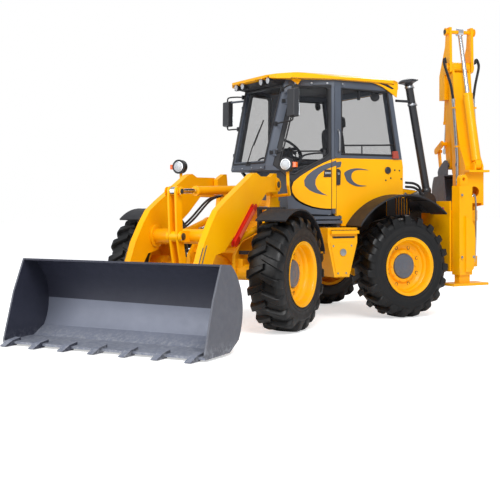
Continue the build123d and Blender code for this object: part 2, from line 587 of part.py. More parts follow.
# === loader ===================================================================================
ARM = ((425, 1680), (470, 1770), (560, 1795), (980, 1790), (1090, 1830), (1180, 1815), (1820, 1500),
       (2020, 1390), (2150, 1250), (2310, 1040), (2420, 820), (2690, 300), (2660, 178), (2580, 190),
       (2180, 760), (2060, 900), (1870, 930), (1650, 1090), (1180, 1350), (820, 1600), (560, 1610), (470, 1620))
CROSS_TUBE = (1900, 1095)
with BuildPart() as arms:
    for hand in (1, -1):
        slab(ARM, *sorted((hand * ARM_INNER, hand * ARM_OUTER)))
        cross_round(BUCKET_PIVOT, 72, *sorted((hand * ARM_INNER, hand * ARM_OUTER)))
        for low in (ARM_INNER - 2, ARM_OUTER - 10):
            slab(((1512, 1250), (1640, 1150), (1640, 1020), (1590, 985), (1530, 985), (1512, 1020)),
                 *sorted((hand * low, hand * (low + 10))))
        cross_round(ARM_PIVOT, 40 + SEAT, *sorted((hand * (ARM_INNER - 5), hand * (ARM_OUTER + 5))),
                    mode=Mode.SUBTRACT)
        cross_round(BUCKET_PIVOT, PIN_R + SEAT, *sorted((hand * (ARM_INNER - 5), hand * (ARM_OUTER + 5))),
                    mode=Mode.SUBTRACT)
        slab(((1440, 1000), (1440, 1190), (1600, 1190), (1680, 1120), (1680, 1000)),
             *sorted((hand * (EYE_PLANE - EYE_HALF - GAP), hand * (EYE_PLANE + EYE_HALF + GAP))), mode=Mode.SUBTRACT)
        link_plate(CROSS_TUBE, CRANK_PIVOT, 62, *sorted((hand * (LINK_OUT + GAP), hand * (LINK_OUT + 32))))
    cross_round(CROSS_TUBE, 85, -ARM_INNER - 5, ARM_INNER + 5)
    cross_round(CRANK_PIVOT, PIN_R, -LINK_OUT - 32, LINK_OUT + 32)
finish(arms, "loader_arms", "front")

with BuildPart() as strut:
    for y in (ARM_OUTER + SEAT, ARM_OUTER + 42):
        link_plate((1200, 1430), (1680, 1010), 34, y, y + 8)
    link_plate((1230, 1404), (1650, 1036), 16, ARM_OUTER + 8, ARM_OUTER + 43)
finish(strut, "safety_strut", "front")

with BuildPart() as crank:
    for hand in (1, -1):
        link_plate(CRANK_PIVOT, CRANK_TOP, 58, *sorted((hand * LINK_GAP, hand * LINK_OUT)))
        link_plate(CRANK_PIVOT, CRANK_LOW, 58, *sorted((hand * LINK_GAP, hand * LINK_OUT)))
    cross_round(CRANK_PIVOT, 62, -LINK_OUT, LINK_OUT)
    cross_round(CRANK_PIVOT, PIN_R + SEAT, -LINK_OUT - 4, LINK_OUT + 4, mode=Mode.SUBTRACT)
    for hand in (1, -1):
        for eye in (CRANK_LOW, CRANK_TOP):
            cross_round(eye, 40, *sorted((hand * LINK_OUT, hand * (LINK_OUT + 12))))
finish(crank, "bellcrank", "front")

with BuildPart() as bucket_link:
    link_plate(CRANK_LOW, BUCKET_LINK, 46, -LINK_HALF, LINK_HALF)
    cross_round(BUCKET_LINK, 25 + SEAT, -LINK_OUT, LINK_OUT, mode=Mode.SUBTRACT)
finish(bucket_link, "bucket_link", "front")

with BuildPart() as bucket:
    with BuildSketch(Plane.XZ.offset(-BUCKET_HALF)) as outside:
        with BuildLine():
            Line((3235, 885), (3060, 872))
            ThreePointArc((3060, 872), (2822, 500), (2900, 130))
            Polyline((2900, 130), (3080, 28), (3540, 22), (3545, 60), (3395, 540), (3235, 885))
        make_face()
    extrude(outside.sketch, amount=2 * BUCKET_HALF)
    # ears for the arms and for the link
    for hand in (1, -1):
        for low in (ARM_INNER - GAP - CHEEK, ARM_OUTER + GAP):
            slab(((2850, 560), (2800, 560), (2590, 300), (2575, 230), (2620, 180), (2700, 170), (2960, 100)),
                 *sorted((hand * low, hand * (low + CHEEK))))
        slab(((2870, 600), (2810, 600), (2680, 490), (2670, 420), (2720, 400), (2850, 300)),
             *sorted((hand * LINK_GAP, hand * LINK_OUT)))
        cross_round(BUCKET_LINK, 40, *sorted((hand * LINK_OUT, hand * (LINK_OUT + 12))))
        cross_round(BUCKET_LINK, 25, *sorted((0, hand * LINK_OUT)))
        cross_round(BUCKET_PIVOT, PIN_R,
                    *sorted((hand * (ARM_INNER - GAP - CHEEK), hand * (ARM_OUTER + GAP + CHEEK))))
    # the room between the cheeks, open to the front
    with BuildSketch(Plane.XZ.offset(CHEEK - BUCKET_HALF)) as room:
        with BuildLine():
            Line((3090, 53), (2918, 148))
            ThreePointArc((2918, 148), (2843, 500), (3070, 852))
            Polyline((3070, 852), (3235, 865), (3235, 950), (3700, 950), (3700, 47), (3540, 47), (3090, 53))
        make_face()
    extrude(room.sketch, amount=2 * (BUCKET_HALF - CHEEK), mode=Mode.SUBTRACT)
    for i in range(TEETH):
        y = (BUCKET_HALF - 115) * (2 * i / (TEETH - 1) - 1)
        slab(((3440, 42), (3440, 78), (3560, 62), (3680, 14), (3670, 6), (3500, 6), (3500, 24)), y - 36, y + 36)
finish(bucket, "loader_bucket", "front")


# === hydraulic cylinders ======================================================================
def build_cylinder(name, frame, base, eye, size, shown, closes, planes=(0.0,)):
    """A barrel on its base pin and a rod whose eye floats at its own pin.

    size is barrel radius, rod radius, eye radius, base pin radius and the eyes' half width; shown is
    the length of rod outside the barrel, and closes is how far the rod may still slide in."""
    barrel_r, rod_r, eye_r, pin_r, half = size
    length = reach(base, eye)
    mouth = length - shown - eye_r - 15              # barrel's open end, from the base pin
    slope = angle(base, eye)
    dx, dz = cos(radians(slope)), sin(radians(slope))

    def at(distance, y):
        return (base[0] + dx * distance, y, base[1] + dz * distance)

    with BuildPart() as barrel:
        for y in planes:
            bar(at(eye_r + 8, y), at(mouth, y), barrel_r)
            bar(at(mouth - 45, y), at(mouth, y), barrel_r + 5)
            link_plate(base, along(base, eye, eye_r + 20), eye_r, y - half, y + half)
            bar(at(eye_r + 30, y), at(mouth + 5, y), rod_r + SEAT, mode=Mode.SUBTRACT)
            cross_round(base, pin_r + SEAT, y - half - 1, y + half + 1, mode=Mode.SUBTRACT)
    finish(barrel, f"{name}_barrel", frame)
    with BuildPart() as rod:
        for y in planes:
            bar(at(eye_r + 45 + closes, y), at(length - eye_r + 8, y), rod_r)
            cross_round(eye, eye_r, y - half, y + half)
    finish(rod, f"{name}_rod", frame)


build_cylinder("tilt_cylinder", "front", TILT_BASE, CRANK_TOP, (52, 28, 50, PIN_R, LINK_HALF), 385, 365)
build_cylinder("lift_cylinder", "front", LIFT_BASE, LIFT_EYE, (42, 25, 46, PIN_R, EYE_HALF), 20, 0,
               (EYE_PLANE, -EYE_PLANE))

# === backhoe ==================================================================================
with BuildPart() as carriage:
    low_y, high_y = POST_Y - 250, POST_Y + 250
    block(-2600, -2520 - SEAT, low_y, high_y, 540, 1350)
    for z in (RAIL_LOW_Z, RAIL_HIGH_Z):
        block(-2600, -2446, low_y, high_y, z + 60 + SEAT, z + 90)
        block(-2600, -2446, low_y, high_y, z - 90, z - 60 - SEAT)
    for z in (600, 1230):
        for low in (z, z + 110):
            plan_slab(((-2590, low_y + 60), (-2780, POST_Y - 88), (-2900, POST_Y - 88), (-2960, POST_Y - 60),
                       (-2988, POST_Y), (-2960, POST_Y + 60), (-2900, POST_Y + 88), (-2780, POST_Y + 88),
                       (-2590, high_y - 60)), low, low + 34)
        with BuildSketch(Plane.XY.offset(z)) as pin:
            with Locations((POST_X, POST_Y)):
                Circle(PIVOT_R)
        extrude(pin.sketch, amount=144)
finish(carriage, "carriage", "rear")

with BuildPart() as swing_post:
    # a hub between each pair of the carriage's lugs, and two cheeks that carry the boom's foot
    for z in (600, 1230):
        with BuildSketch(Plane.XY.offset(z + 35)) as hub:
            Circle(84)
            with Locations((60, 68), (60, -68)):
                Rectangle(120, 24)
        extrude(hub.sketch, amount=74)
    for hand in (1, -1):
        slab(((88, 636), (230, 650), (285, 740), (285, 800), (200, 1100), (190, 1338), (88, 1338)),
             *sorted((hand * 60, hand * 98)))
    block(96, 146, -62, 62, 640, 960)
    for z in (600, 1230):
        with BuildSketch(Plane.XY.offset(z + 30)) as bore:
            Circle(PIVOT_R + SEAT)
        extrude(bore.sketch, amount=90, mode=Mode.SUBTRACT)
    cross_round(BOOM_FOOT, 35, -BOOM_HALF - 12, BOOM_HALF + 12)
    cross_round(BOOM_CYL_BASE, PIN_R, -62, 62)
finish(swing_post, "swing_post", "hoe")

BOOM = ((135, 700), (135, 1425), (-100, 1445), (-100, 1985), (60, 2240), (225, 2800), (290, 3320), (340, 3470),
        (420, 3470), (455, 3390), (430, 3100), (400, 2800), (330, 2300), (290, 1900), (275, 700))
with BuildPart() as boom:
    # side plates, closed on top and, above the lift cylinder, underneath
    for hand in (1, -1):
        slab(BOOM, *sorted((hand * (BOOM_HALF - 30), hand * BOOM_HALF)))
        cross_round(BOOM_FOOT, 78, *sorted((hand * (BOOM_HALF - 32), hand * BOOM_HALF)))
    slab(((-100, 1475), (-100, 1985), (60, 2240), (225, 2800), (290, 3320), (312, 3310), (247, 2795),
          (82, 2232), (-76, 1977), (-76, 1475)), -BOOM_HALF + 5, BOOM_HALF - 5)
    slab(((430, 3100), (400, 2800), (345, 2400), (322, 2405), (377, 2805), (407, 3100)),
         -BOOM_HALF + 5, BOOM_HALF - 5)
    cross_round(BOOM_TOP, 75, -BOOM_HALF, BOOM_HALF)
    with BuildSketch(Plane(origin=(-110, 0, 1630), z_dir=(1, 0, 0))) as window:
        Circle(72)
    extrude(window.sketch, amount=60, mode=Mode.SUBTRACT)
    # bracket for the dipper's cylinder
    for hand in (1, -1):
        slab(((-80, 1900), (-245, 1915), (-235, 2000), (-200, 2032), (-150, 2032), (-80, 1975)),
             *sorted((hand * 44, hand * 64)))
    block(-250, -80, -150, 150, 1895, 1925)
    cross_round(DIPPER_CYL_BASE, PIN_R, -64, 64)
    cross_round(BOOM_TOP, 40, -205, 205)
    for hand in (1, -1):
        cross_round(BOOM_TOP, 60, *sorted((hand * 188, hand * 205)))
        cross_round(BOOM_CYL_EYE, 45, *sorted((hand * (BOOM_HALF - 1), hand * (BOOM_HALF + 12))))
    cross_round(BOOM_FOOT, 35 + SEAT, -BOOM_HALF - 20, BOOM_HALF + 20, mode=Mode.SUBTRACT)
finish(boom, "boom", "hoe")

DIPPER_TOP = ((300, 3960), (420, 3960), (450, 3700), (640, 3300), (640, 2950), (465, 2950), (465, 3300),
              (290, 3330), (285, 3480))
with BuildPart() as dipper:
    for hand in (1, -1):
        slab(DIPPER_TOP, *sorted((hand * 146, hand * 182)))
        cross_round(DIPPER_TAIL, 40, *sorted((hand * 181, hand * 215)))
    block(465, 640, -150, 150, 2950, 3240)
    slab(((465, 2960), (640, 2960), (648, 2300), (620, 2080), (560, 1962), (505, 1985), (480, 2120)),
         -DIPPER_HALF, DIPPER_HALF)
    cross_round(DIPPER_END, 66, -DIPPER_HALF, DIPPER_HALF)
    cross_round(BOOM_TOP, 40 + SEAT, -190, 190, mode=Mode.SUBTRACT)
    cross_round(DIPPER_END, 32 + SEAT, -DIPPER_HALF - 5, DIPPER_HALF + 5, mode=Mode.SUBTRACT)
    cross_round(LEVER_PIVOT, 44, -DIPPER_HALF, DIPPER_HALF)
    cross_round(LEVER_PIVOT, 28, -LEVER_IN - SIDE_PLATE - 12, LEVER_IN + SIDE_PLATE + 12)
    for hand in (1, -1):
        slab(((635, 3240), (600, 3330), (640, 3340), (715, 3330), (765, 3290), (755, 3240)),
             *sorted((hand * 24, hand * 46)))
    cross_round(BUCKET_CYL_BASE, PIN_R, -46, 46)
finish(dipper, "dipper", "hoe")

with BuildPart() as lever:
    for hand in (1, -1):
        link_plate(LEVER_PIVOT, LEVER_TIP, 46, *sorted((hand * LEVER_IN, hand * (LEVER_IN + SIDE_PLATE))))
        cross_round(LEVER_TIP, 25, *sorted((hand * 60, hand * (LEVER_IN + SIDE_PLATE))))
        cross_round(LEVER_PIVOT, 28 + SEAT, *sorted((hand * (LEVER_IN - 2), hand * (LEVER_IN + SIDE_PLATE + 2))),
                    mode=Mode.SUBTRACT)
finish(lever, "hoe_lever", "hoe")

with BuildPart() as hoe_link:
    for hand in (1, -1):
        sides = sorted((hand * LINK_IN, hand * (LINK_IN + SIDE_PLATE)))
        link_plate(LEVER_TIP, HOE_LINK_PIN, 38, *sides)
        for eye in (LEVER_TIP, HOE_LINK_PIN):
            cross_round(eye, 25 + SEAT, *sides, mode=Mode.SUBTRACT)
finish(hoe_link, "hoe_link", "hoe")

HOE_HALF = 200.0
with BuildPart() as hoe_bucket:
    with BuildSketch(Plane.XZ.offset(-HOE_HALF)) as outer:
        with BuildLine():
            Line((470, 1880), (790, 1850))
            ThreePointArc((790, 1850), (850, 1540), (690, 1290))
            Polyline((690, 1290), (360, 1160), (345, 1200), (470, 1880))
        make_face()
    extrude(outer.sketch, amount=2 * HOE_HALF)
    with BuildSketch(Plane.XZ.offset(-HOE_HALF + 16)) as inner:
        with BuildLine():
            Line((430, 1866), (776, 1834))
            ThreePointArc((776, 1834), (834, 1543), (680, 1306))
            Polyline((680, 1306), (350, 1177), (200, 1177), (200, 1866), (430, 1866))
        make_face()
    extrude(inner.sketch, amount=2 * HOE_HALF - 32, mode=Mode.SUBTRACT)
    for i in range(4):
        y = -HOE_HALF + 35 + i * (2 * HOE_HALF - 70) / 3
        slab(((420, 1184), (420, 1208), (352, 1176), (320, 1075), (330, 1068), (385, 1140)), y - 28, y + 28)
    for hand in (1, -1):
        slab(((490, 1860), (482, 2010), (500, 2075), (560, 2092), (610, 2072), (775, 1975), (805, 1925),
              (786, 1835)), *sorted((hand * EAR_IN, hand * (EAR_IN + SIDE_PLATE))))
        cross_round(HOE_LINK_PIN, 25, *sorted((hand * LINK_IN, hand * (EAR_IN + SIDE_PLATE))))
    cross_round(DIPPER_END, 32, -EAR_IN - SIDE_PLATE, EAR_IN + SIDE_PLATE)
finish(hoe_bucket, "hoe_bucket", "hoe")

build_cylinder("boom_cylinder", "hoe", BOOM_CYL_BASE, BOOM_CYL_EYE, (52, 30, 52, PIN_R, 40), 60, 0)
build_cylinder("dipper_cylinder", "hoe", DIPPER_CYL_BASE, DIPPER_TAIL, (65, 30, 55, PIN_R, 38), 870, 800)
build_cylinder("bucket_cylinder", "hoe", BUCKET_CYL_BASE, LEVER_TIP, (45, 25, 44, PIN_R, 20), 330, 300)

# === stabilizers ==============================================================================
for side, hand in (("left", 1), ("right", -1)):
    with BuildPart() as leg:
        block(-2540 + SEAT, -2360 - SEAT, *sorted((hand * (1025 + SEAT), hand * (1125 - SEAT))), 410, 1640)
        block(-2800, -2200, *sorted((hand * 930, hand * 1200)), 380, 415)
    finish(leg, f"stabilizer_leg_{side}", "rear")

# === placing and export =======================================================================
# The row's origin is the point on the ground under the middle of the whole machine.
placed = [(name, builder.part.moved(FRAMES[frame])) for name, builder, frame in pieces]
boxes = [piece.bounding_box() for _, piece in placed]
MIDDLE_X = (min(box.min.X for box in boxes) + max(box.max.X for box in boxes)) / 2
MIDDLE_Y = (min(box.min.Y for box in boxes) + max(box.max.Y for box in boxes)) / 2

for name, piece in placed:
    piece = piece.moved(Location((-MIDDLE_X, -MIDDLE_Y, 0)))
    piece.label = name
    export_step(piece, f"parts/{name}.step")
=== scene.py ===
import json
from math import copysign, cos, exp, hypot, pi, radians, sin, sqrt
import bpy
import bmesh
from mathutils import Matrix, Vector


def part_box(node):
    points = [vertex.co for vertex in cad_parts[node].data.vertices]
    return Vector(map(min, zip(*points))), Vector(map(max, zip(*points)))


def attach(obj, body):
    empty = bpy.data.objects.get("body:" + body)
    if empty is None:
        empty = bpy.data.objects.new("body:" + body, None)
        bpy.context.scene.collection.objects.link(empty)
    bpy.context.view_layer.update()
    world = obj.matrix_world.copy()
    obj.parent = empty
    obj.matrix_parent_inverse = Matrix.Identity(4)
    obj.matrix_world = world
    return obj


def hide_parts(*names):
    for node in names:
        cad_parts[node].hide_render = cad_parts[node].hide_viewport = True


# Looks of the articulated backhoe loader, in metres.  Details are drawn in the straight frame of
# what carries them (X forwards, Y to the driver's left, ground at Z = 0) and then put in place.
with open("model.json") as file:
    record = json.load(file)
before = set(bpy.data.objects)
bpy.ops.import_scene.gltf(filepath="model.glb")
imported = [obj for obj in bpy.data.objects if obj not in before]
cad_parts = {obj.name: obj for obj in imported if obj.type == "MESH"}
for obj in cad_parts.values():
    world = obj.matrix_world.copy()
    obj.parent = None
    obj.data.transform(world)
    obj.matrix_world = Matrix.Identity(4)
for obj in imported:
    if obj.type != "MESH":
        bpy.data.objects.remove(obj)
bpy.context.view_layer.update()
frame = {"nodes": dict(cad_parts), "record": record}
nodes = frame["nodes"]

# === places ===
STEER, SWING = radians(34), radians(-105)
POST = (-2.9, 0.74)
AXLE_X = {"front": 1.215, "rear": -1.53}
AXLE_Z, TRACK_HALF = 0.66, 0.935
SIDES = (("left", 1), ("right", -1))
WHEELS = [(end, side, hand) for end in ("front", "rear") for side, hand in SIDES]
HUBS = {end: (x, AXLE_Z) for end, x in AXLE_X.items()}
# the rear axle's middle ties the machine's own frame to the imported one
low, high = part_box("rear_axle")
ORIGIN = Matrix.Translation(((low.x + high.x) / 2 - AXLE_X["rear"], (low.y + high.y) / 2, 0))
FRAMES = {"rear": ORIGIN, "front": ORIGIN @ Matrix.Rotation(STEER, 4, "Z"),
          "hoe": ORIGIN @ Matrix.Translation((*POST, 0)) @ Matrix.Rotation(SWING, 4, "Z"), }
for end, side, hand in WHEELS:
    hub = Matrix.Translation((AXLE_X[end], hand * TRACK_HALF, AXLE_Z))
    FRAMES[f"{end}_{side}_wheel"] = FRAMES[end] @ hub @ Matrix.Rotation(radians(-90 * hand), 4, "X")


# === materials ===
def linear(r, g, b):
    """A colour given as it looks on a screen, 0 to 255, in the renderer's linear values."""
    return tuple((c / 255 / 12.92 if c <= 10 else ((c / 255 + 0.055) / 1.055) ** 2.4) for c in (r, g, b))


class Nodes:
    """A short way to write a material's nodes."""

    def __init__(self, name):
        self.material = bpy.data.materials.new(name)
        self.material.use_nodes = True
        self.tree = self.material.node_tree
        self.shader = next(n for n in self.tree.nodes if n.type == "BSDF_PRINCIPLED")

    def node(self, kind, **values):
        made = self.tree.nodes.new(kind)
        for key, value in values.items():
            if key in made.inputs.keys():
                made.inputs[key].default_value = value
            else:
                setattr(made, key, value)
        return made

    def link(self, start, end):
        self.tree.links.new(start, end)

    def place(self):
        """Object coordinates, which are the same for every piece and every pose."""
        return self.node("ShaderNodeTexCoord").outputs["Object"]

    def noise(self, scale, detail=4.0, roughness=0.55):
        made = self.node("ShaderNodeTexNoise", Scale=scale, Detail=detail, Roughness=roughness)
        self.link(self.place(), made.inputs["Vector"])
        return made.outputs["Fac"]

    def spread(self, value, low, high, to_low=0.0, to_high=1.0):
        made = self.node("ShaderNodeMapRange")
        self.link(value, made.inputs["Value"])
        for key, number in (("From Min", low), ("From Max", high), ("To Min", to_low), ("To Max", to_high)):
            made.inputs[key].default_value = number
        return made.outputs["Result"]

    def mix(self, share, first, second):
        """A colour between two others, each a tuple or an output."""
        made = self.node("ShaderNodeMix", data_type="RGBA")
        self.link(share, made.inputs["Factor"])
        for key, value in (("A", first), ("B", second)):
            socket = next(s for s in made.inputs if s.name == key and s.type == "RGBA")
            if isinstance(value, tuple):
                socket.default_value = (*value, 1)
            else:
                self.link(value, socket)
        return next(s for s in made.outputs if s.type == "RGBA")

    def times(self, first, second):
        made = self.node("ShaderNodeMath", operation="MULTIPLY")
        self.link(first, made.inputs[0])
        self.link(second, made.inputs[1])
        return made.outputs[0]

    def axis(self, letter):
        split = self.node("ShaderNodeSeparateXYZ")
        self.link(self.place(), split.inputs[0])
        return split.outputs[letter]

    def bump(self, height, strength, distance):
        made = self.node("ShaderNodeBump", Strength=strength, Distance=distance)
        self.link(height, made.inputs["Height"])
        self.link(made.outputs["Normal"], self.shader.inputs["Normal"])

    def set(self, **values):
        for key, value in values.items():
            socket = self.shader.inputs[key.replace("_", " ")]
            if isinstance(value, bpy.types.NodeSocket):
                self.link(value, socket)
            elif isinstance(value, tuple):
                socket.default_value = (*value, 1)
            else:
                socket.default_value = value
        return self.material


def shaded(colour, share):
    return tuple(min(1.0, share * c) for c in colour)


def painted(name, colour, shade, rough=(0.3, 0.44), coat=0.35, dust=0.25, gloss=0.5):
    """Sprayed paint: faint mottling, orange peel, and dust that gathers towards the ground."""
    m = Nodes(name)
    base = m.mix(m.spread(m.noise(1.7, 5.0), 0.35, 0.75), colour, shade)
    near_ground = m.spread(m.axis("Z"), 0.15, 1.1, dust, 0.0)
    dusty = m.times(near_ground, m.spread(m.noise(9.0, 6.0, 0.7), 0.42, 0.75))
    m.bump(m.noise(420.0, 2.0), 0.05, 0.0006)
    return m.set(Base_Color=m.mix(dusty, base, linear(150, 132, 104)), Coat_Weight=coat,
                 Coat_Roughness=0.12, Specular_IOR_Level=gloss,
                 Roughness=m.spread(m.noise(5.0, 4.0), 0.3, 0.7, *rough))


def worn_steel(name, colour, bright):
    """Painted working steel, scuffed bare along the parts that meet the ground."""
    m = Nodes(name)
    base = m.mix(m.spread(m.noise(2.3, 6.0), 0.3, 0.75), colour, shaded(colour, 0.82))
    low_down = m.spread(m.axis("Z"), 0.02, 0.16, 1.0, 0.0)
    scuff = m.times(low_down, m.spread(m.noise(26.0, 8.0, 0.72), 0.45, 0.62))
    m.bump(m.noise(160.0, 3.0), 0.1, 0.001)
    return m.set(Base_Color=m.mix(scuff, base, bright),
                 Roughness=m.spread(m.noise(14.0, 4.0), 0.3, 0.7, 0.38, 0.55), Metallic=0.15,
                 Coat_Weight=0.1, Coat_Roughness=0.3)


def moulded(name, colour):
    """Grained black plastic or rubber sheet."""
    m = Nodes(name)
    m.bump(m.noise(900.0, 2.0), 0.25, 0.0005)
    base = m.mix(m.spread(m.noise(3.0, 4.0), 0.3, 0.8), colour, shaded(colour, 1.5))
    return m.set(Base_Color=base, Roughness=m.spread(m.noise(11.0, 3.0), 0.3, 0.7, 0.49, 0.63))


def rubber(name):
    """Tyre rubber: near black, with a little grey bloom."""
    m = Nodes(name)
    base = m.mix(m.spread(m.noise(7.0, 6.0, 0.65), 0.35, 0.75), linear(7, 7, 8), linear(17, 16, 16))
    m.bump(m.noise(260.0, 4.0, 0.7), 0.18, 0.001)
    return m.set(Base_Color=base, Roughness=m.spread(m.noise(16.0, 4.0), 0.3, 0.75, 0.32, 0.55),
                 Specular_IOR_Level=0.4)


def metal(name, colour, rough):
    """Bare or plated metal, a little uneven in its polish."""
    m = Nodes(name)
    return m.set(Base_Color=m.mix(m.spread(m.noise(30.0, 4.0), 0.3, 0.8), colour, shaded(colour, 0.8)),
                 Metallic=1.0, Roughness=m.spread(m.noise(60.0, 3.0), 0.3, 0.7, rough, rough + 0.12))


def pane(name, colour, alpha):
    """Tinted safety glass."""
    m = Nodes(name)
    tint = m.mix(m.spread(m.noise(0.9, 2.0), 0.3, 0.8), colour, shaded(colour, 1.15))
    m.material.surface_render_method = "BLENDED"
    return m.set(Base_Color=tint, Alpha=alpha, Roughness=0.03)


def lens(name, colour):
    """A moulded lens with fine ribs under a clear face."""
    m = Nodes(name)
    wave = m.node("ShaderNodeTexWave", Scale=38.0, Distortion=0.4, wave_type="BANDS")
    m.link(m.place(), wave.inputs["Vector"])
    m.bump(wave.outputs["Fac"], 0.35, 0.002)
    base = m.mix(wave.outputs["Fac"], colour, shaded(colour, 1.25))
    return m.set(Base_Color=base, Roughness=0.12, Coat_Weight=0.8, Coat_Roughness=0.03)


def cloth(name, colour):
    """Woven seat cloth with a soft sheen."""
    m = Nodes(name)
    weave = m.node("ShaderNodeTexBrick", Scale=160.0)
    m.link(m.place(), weave.inputs["Vector"])
    m.bump(weave.outputs["Fac"], 0.4, 0.001)
    return m.set(Base_Color=m.mix(m.noise(40.0), colour, shaded(colour, 1.8)), Roughness=0.85,
                 Sheen_Weight=0.3)


YELLOW = painted("yellow_paint", linear(255, 182, 0), linear(252, 170, 0), coat=0.1, gloss=0.2)
GREY = painted("frame_grey_paint", linear(80, 87, 99), linear(70, 76, 88), rough=(0.36, 0.5), coat=0.15,
               dust=0.15)
CAP = painted("hub_grey_paint", linear(94, 99, 108), linear(82, 87, 97), rough=(0.36, 0.5), coat=0.15)
STEEL = worn_steel("bucket_steel", linear(86, 88, 97), linear(140, 142, 148))
BLACK = moulded("black_plastic", linear(27, 27, 30))
DARK_PAINT = painted("black_paint", linear(38, 39, 43), linear(30, 30, 34), rough=(0.32, 0.46), coat=0.2,
                     dust=0.2)
TYRE = rubber("tyre_rubber")
GLASS = pane("tinted_glass", linear(34, 36, 40), 0.19)
CHROME = metal("chromed_rod", linear(226, 228, 232), 0.1)
ZINC = metal("plated_steel", linear(176, 178, 182), 0.28)
# darker and lighter copies of the bucket steel: painted shade inside the back, painted light on the floor
BUCKET_SHADE = worn_steel("shaded_bucket_steel", linear(46, 48, 62), linear(96, 98, 108))
BUCKET_LIT_FLOOR = worn_steel("lit_bucket_floor_steel", linear(122, 127, 142), linear(160, 162, 168))
RED = painted("red_paint", linear(206, 26, 12), linear(190, 18, 8), dust=0.05)
# a lighter red for the painted highlight on the safety strut
RED_HIGHLIGHT = painted("painted_highlight_red", linear(250, 118, 84), linear(240, 104, 72), dust=0.0)
LENS = lens("clear_lens", linear(178, 182, 187))
AMBER = lens("amber_lens", linear(236, 92, 10))
RED_LENS = lens("red_lens", linear(160, 58, 38))
FABRIC = cloth("seat_fabric", linear(30, 31, 34))
MIRROR = metal("mirror_glass", linear(206, 212, 218), 0.02)

# the finish of each CAD node that shows or that a piece below stands for
NODE_LOOKS = {
    YELLOW: ["loader_arms", "front_chassis", "bellcrank", "bucket_link", "tilt_cylinder_barrel",
             "lift_cylinder_barrel", "step_tanks", "side_panels", "engine_hood", "cab_roof", "carriage",
             "swing_post", "boom", "dipper", "hoe_lever", "hoe_link", "boom_cylinder_barrel",
             "dipper_cylinder_barrel", "bucket_cylinder_barrel", "slide_frame", "stabilizer_leg_left",
             "stabilizer_leg_right", "front_axle", "rear_axle"],
    GREY: ["cab_frame"],
    STEEL: ["loader_bucket", "hoe_bucket"],
    BLACK: ["rear_mudguards", "front_fenders", "steering_console", "left_door", "right_door", "roof_lamps"],
    DARK_PAINT: ["exhaust_stack", "engine", "rear_chassis"],
    TYRE: [f"{end}_{side}_tyre" for end, side, hand in WHEELS],
    GLASS: ["cab_glass", "left_door_glass", "right_door_glass"],
    CHROME: [f"{c}_cylinder_rod" for c in ("tilt", "lift", "boom", "dipper", "bucket")],
    RED: ["safety_strut"],
    FABRIC: ["seat"],
}
for material, names in NODE_LOOKS.items():
    for name in names:
        nodes[name].data.materials.clear()
        nodes[name].data.materials.append(material)


def dress(name, materials, choose):
    """Gives a CAD node several finishes: choose(face centre, face normal) is a finish's index."""
    mesh = nodes[name].data
    mesh.materials.clear()
    for material in materials:
        mesh.materials.append(material)
    for face in mesh.polygons:
        face.material_index = choose(face.center, face.normal)


INTO_FRONT = FRAMES["front"].inverted()


def bucket_look(centre, normal):
    """Painted shade inside the back and on the right cheek's faces, painted light on the floor, plain
    outside.
    """
    inner_half, floor_top = 1.2, 0.42
    centre, normal = INTO_FRONT @ centre, INTO_FRONT.to_3x3() @ normal
    if abs(centre.y) > inner_half:
        return 0
    if abs(normal.y) > 0.9:
        # the right cheek's side faces take the painted shade
        return 1 if centre.y < 0 else 0
    if normal.x < 0.3 and normal.z < 0.2:
        return 0
    # painted shade above the floor's top, painted light below it
    return 1 if centre.z > floor_top else 2


def headlamp_look(centre, normal):
    """Yellow stalks up to the lamps, and an amber lamp outside each black shell."""
    stalk_top, indicator_in = 1.83, 0.832
    if centre.z < stalk_top:
        return 1
    return 2 if abs((INTO_FRONT @ centre).y) > indicator_in else 0


def hood_side_painted_shade(centre, normal):
    """The hood's side walls are black below its shoulder, as painted shade."""
    return 1 if abs(normal.y) > 0.8 and centre.z < 1.62 else 0


dress("loader_bucket", [STEEL, BUCKET_SHADE, BUCKET_LIT_FLOOR], bucket_look)
dress("headlamps", [BLACK, YELLOW, AMBER], headlamp_look)
# the hood's side walls below the shoulder take black as painted shade
dress("engine_hood", [YELLOW, BLACK], hood_side_painted_shade)

# === pieces ===
BODY = {name: body for body, names in frame["record"]["behaviour"]["bodies"].items() for name in names}


def into_scene(name, data):
    made = bpy.data.objects.new(name, data)
    bpy.context.scene.collection.objects.link(made)
    return made


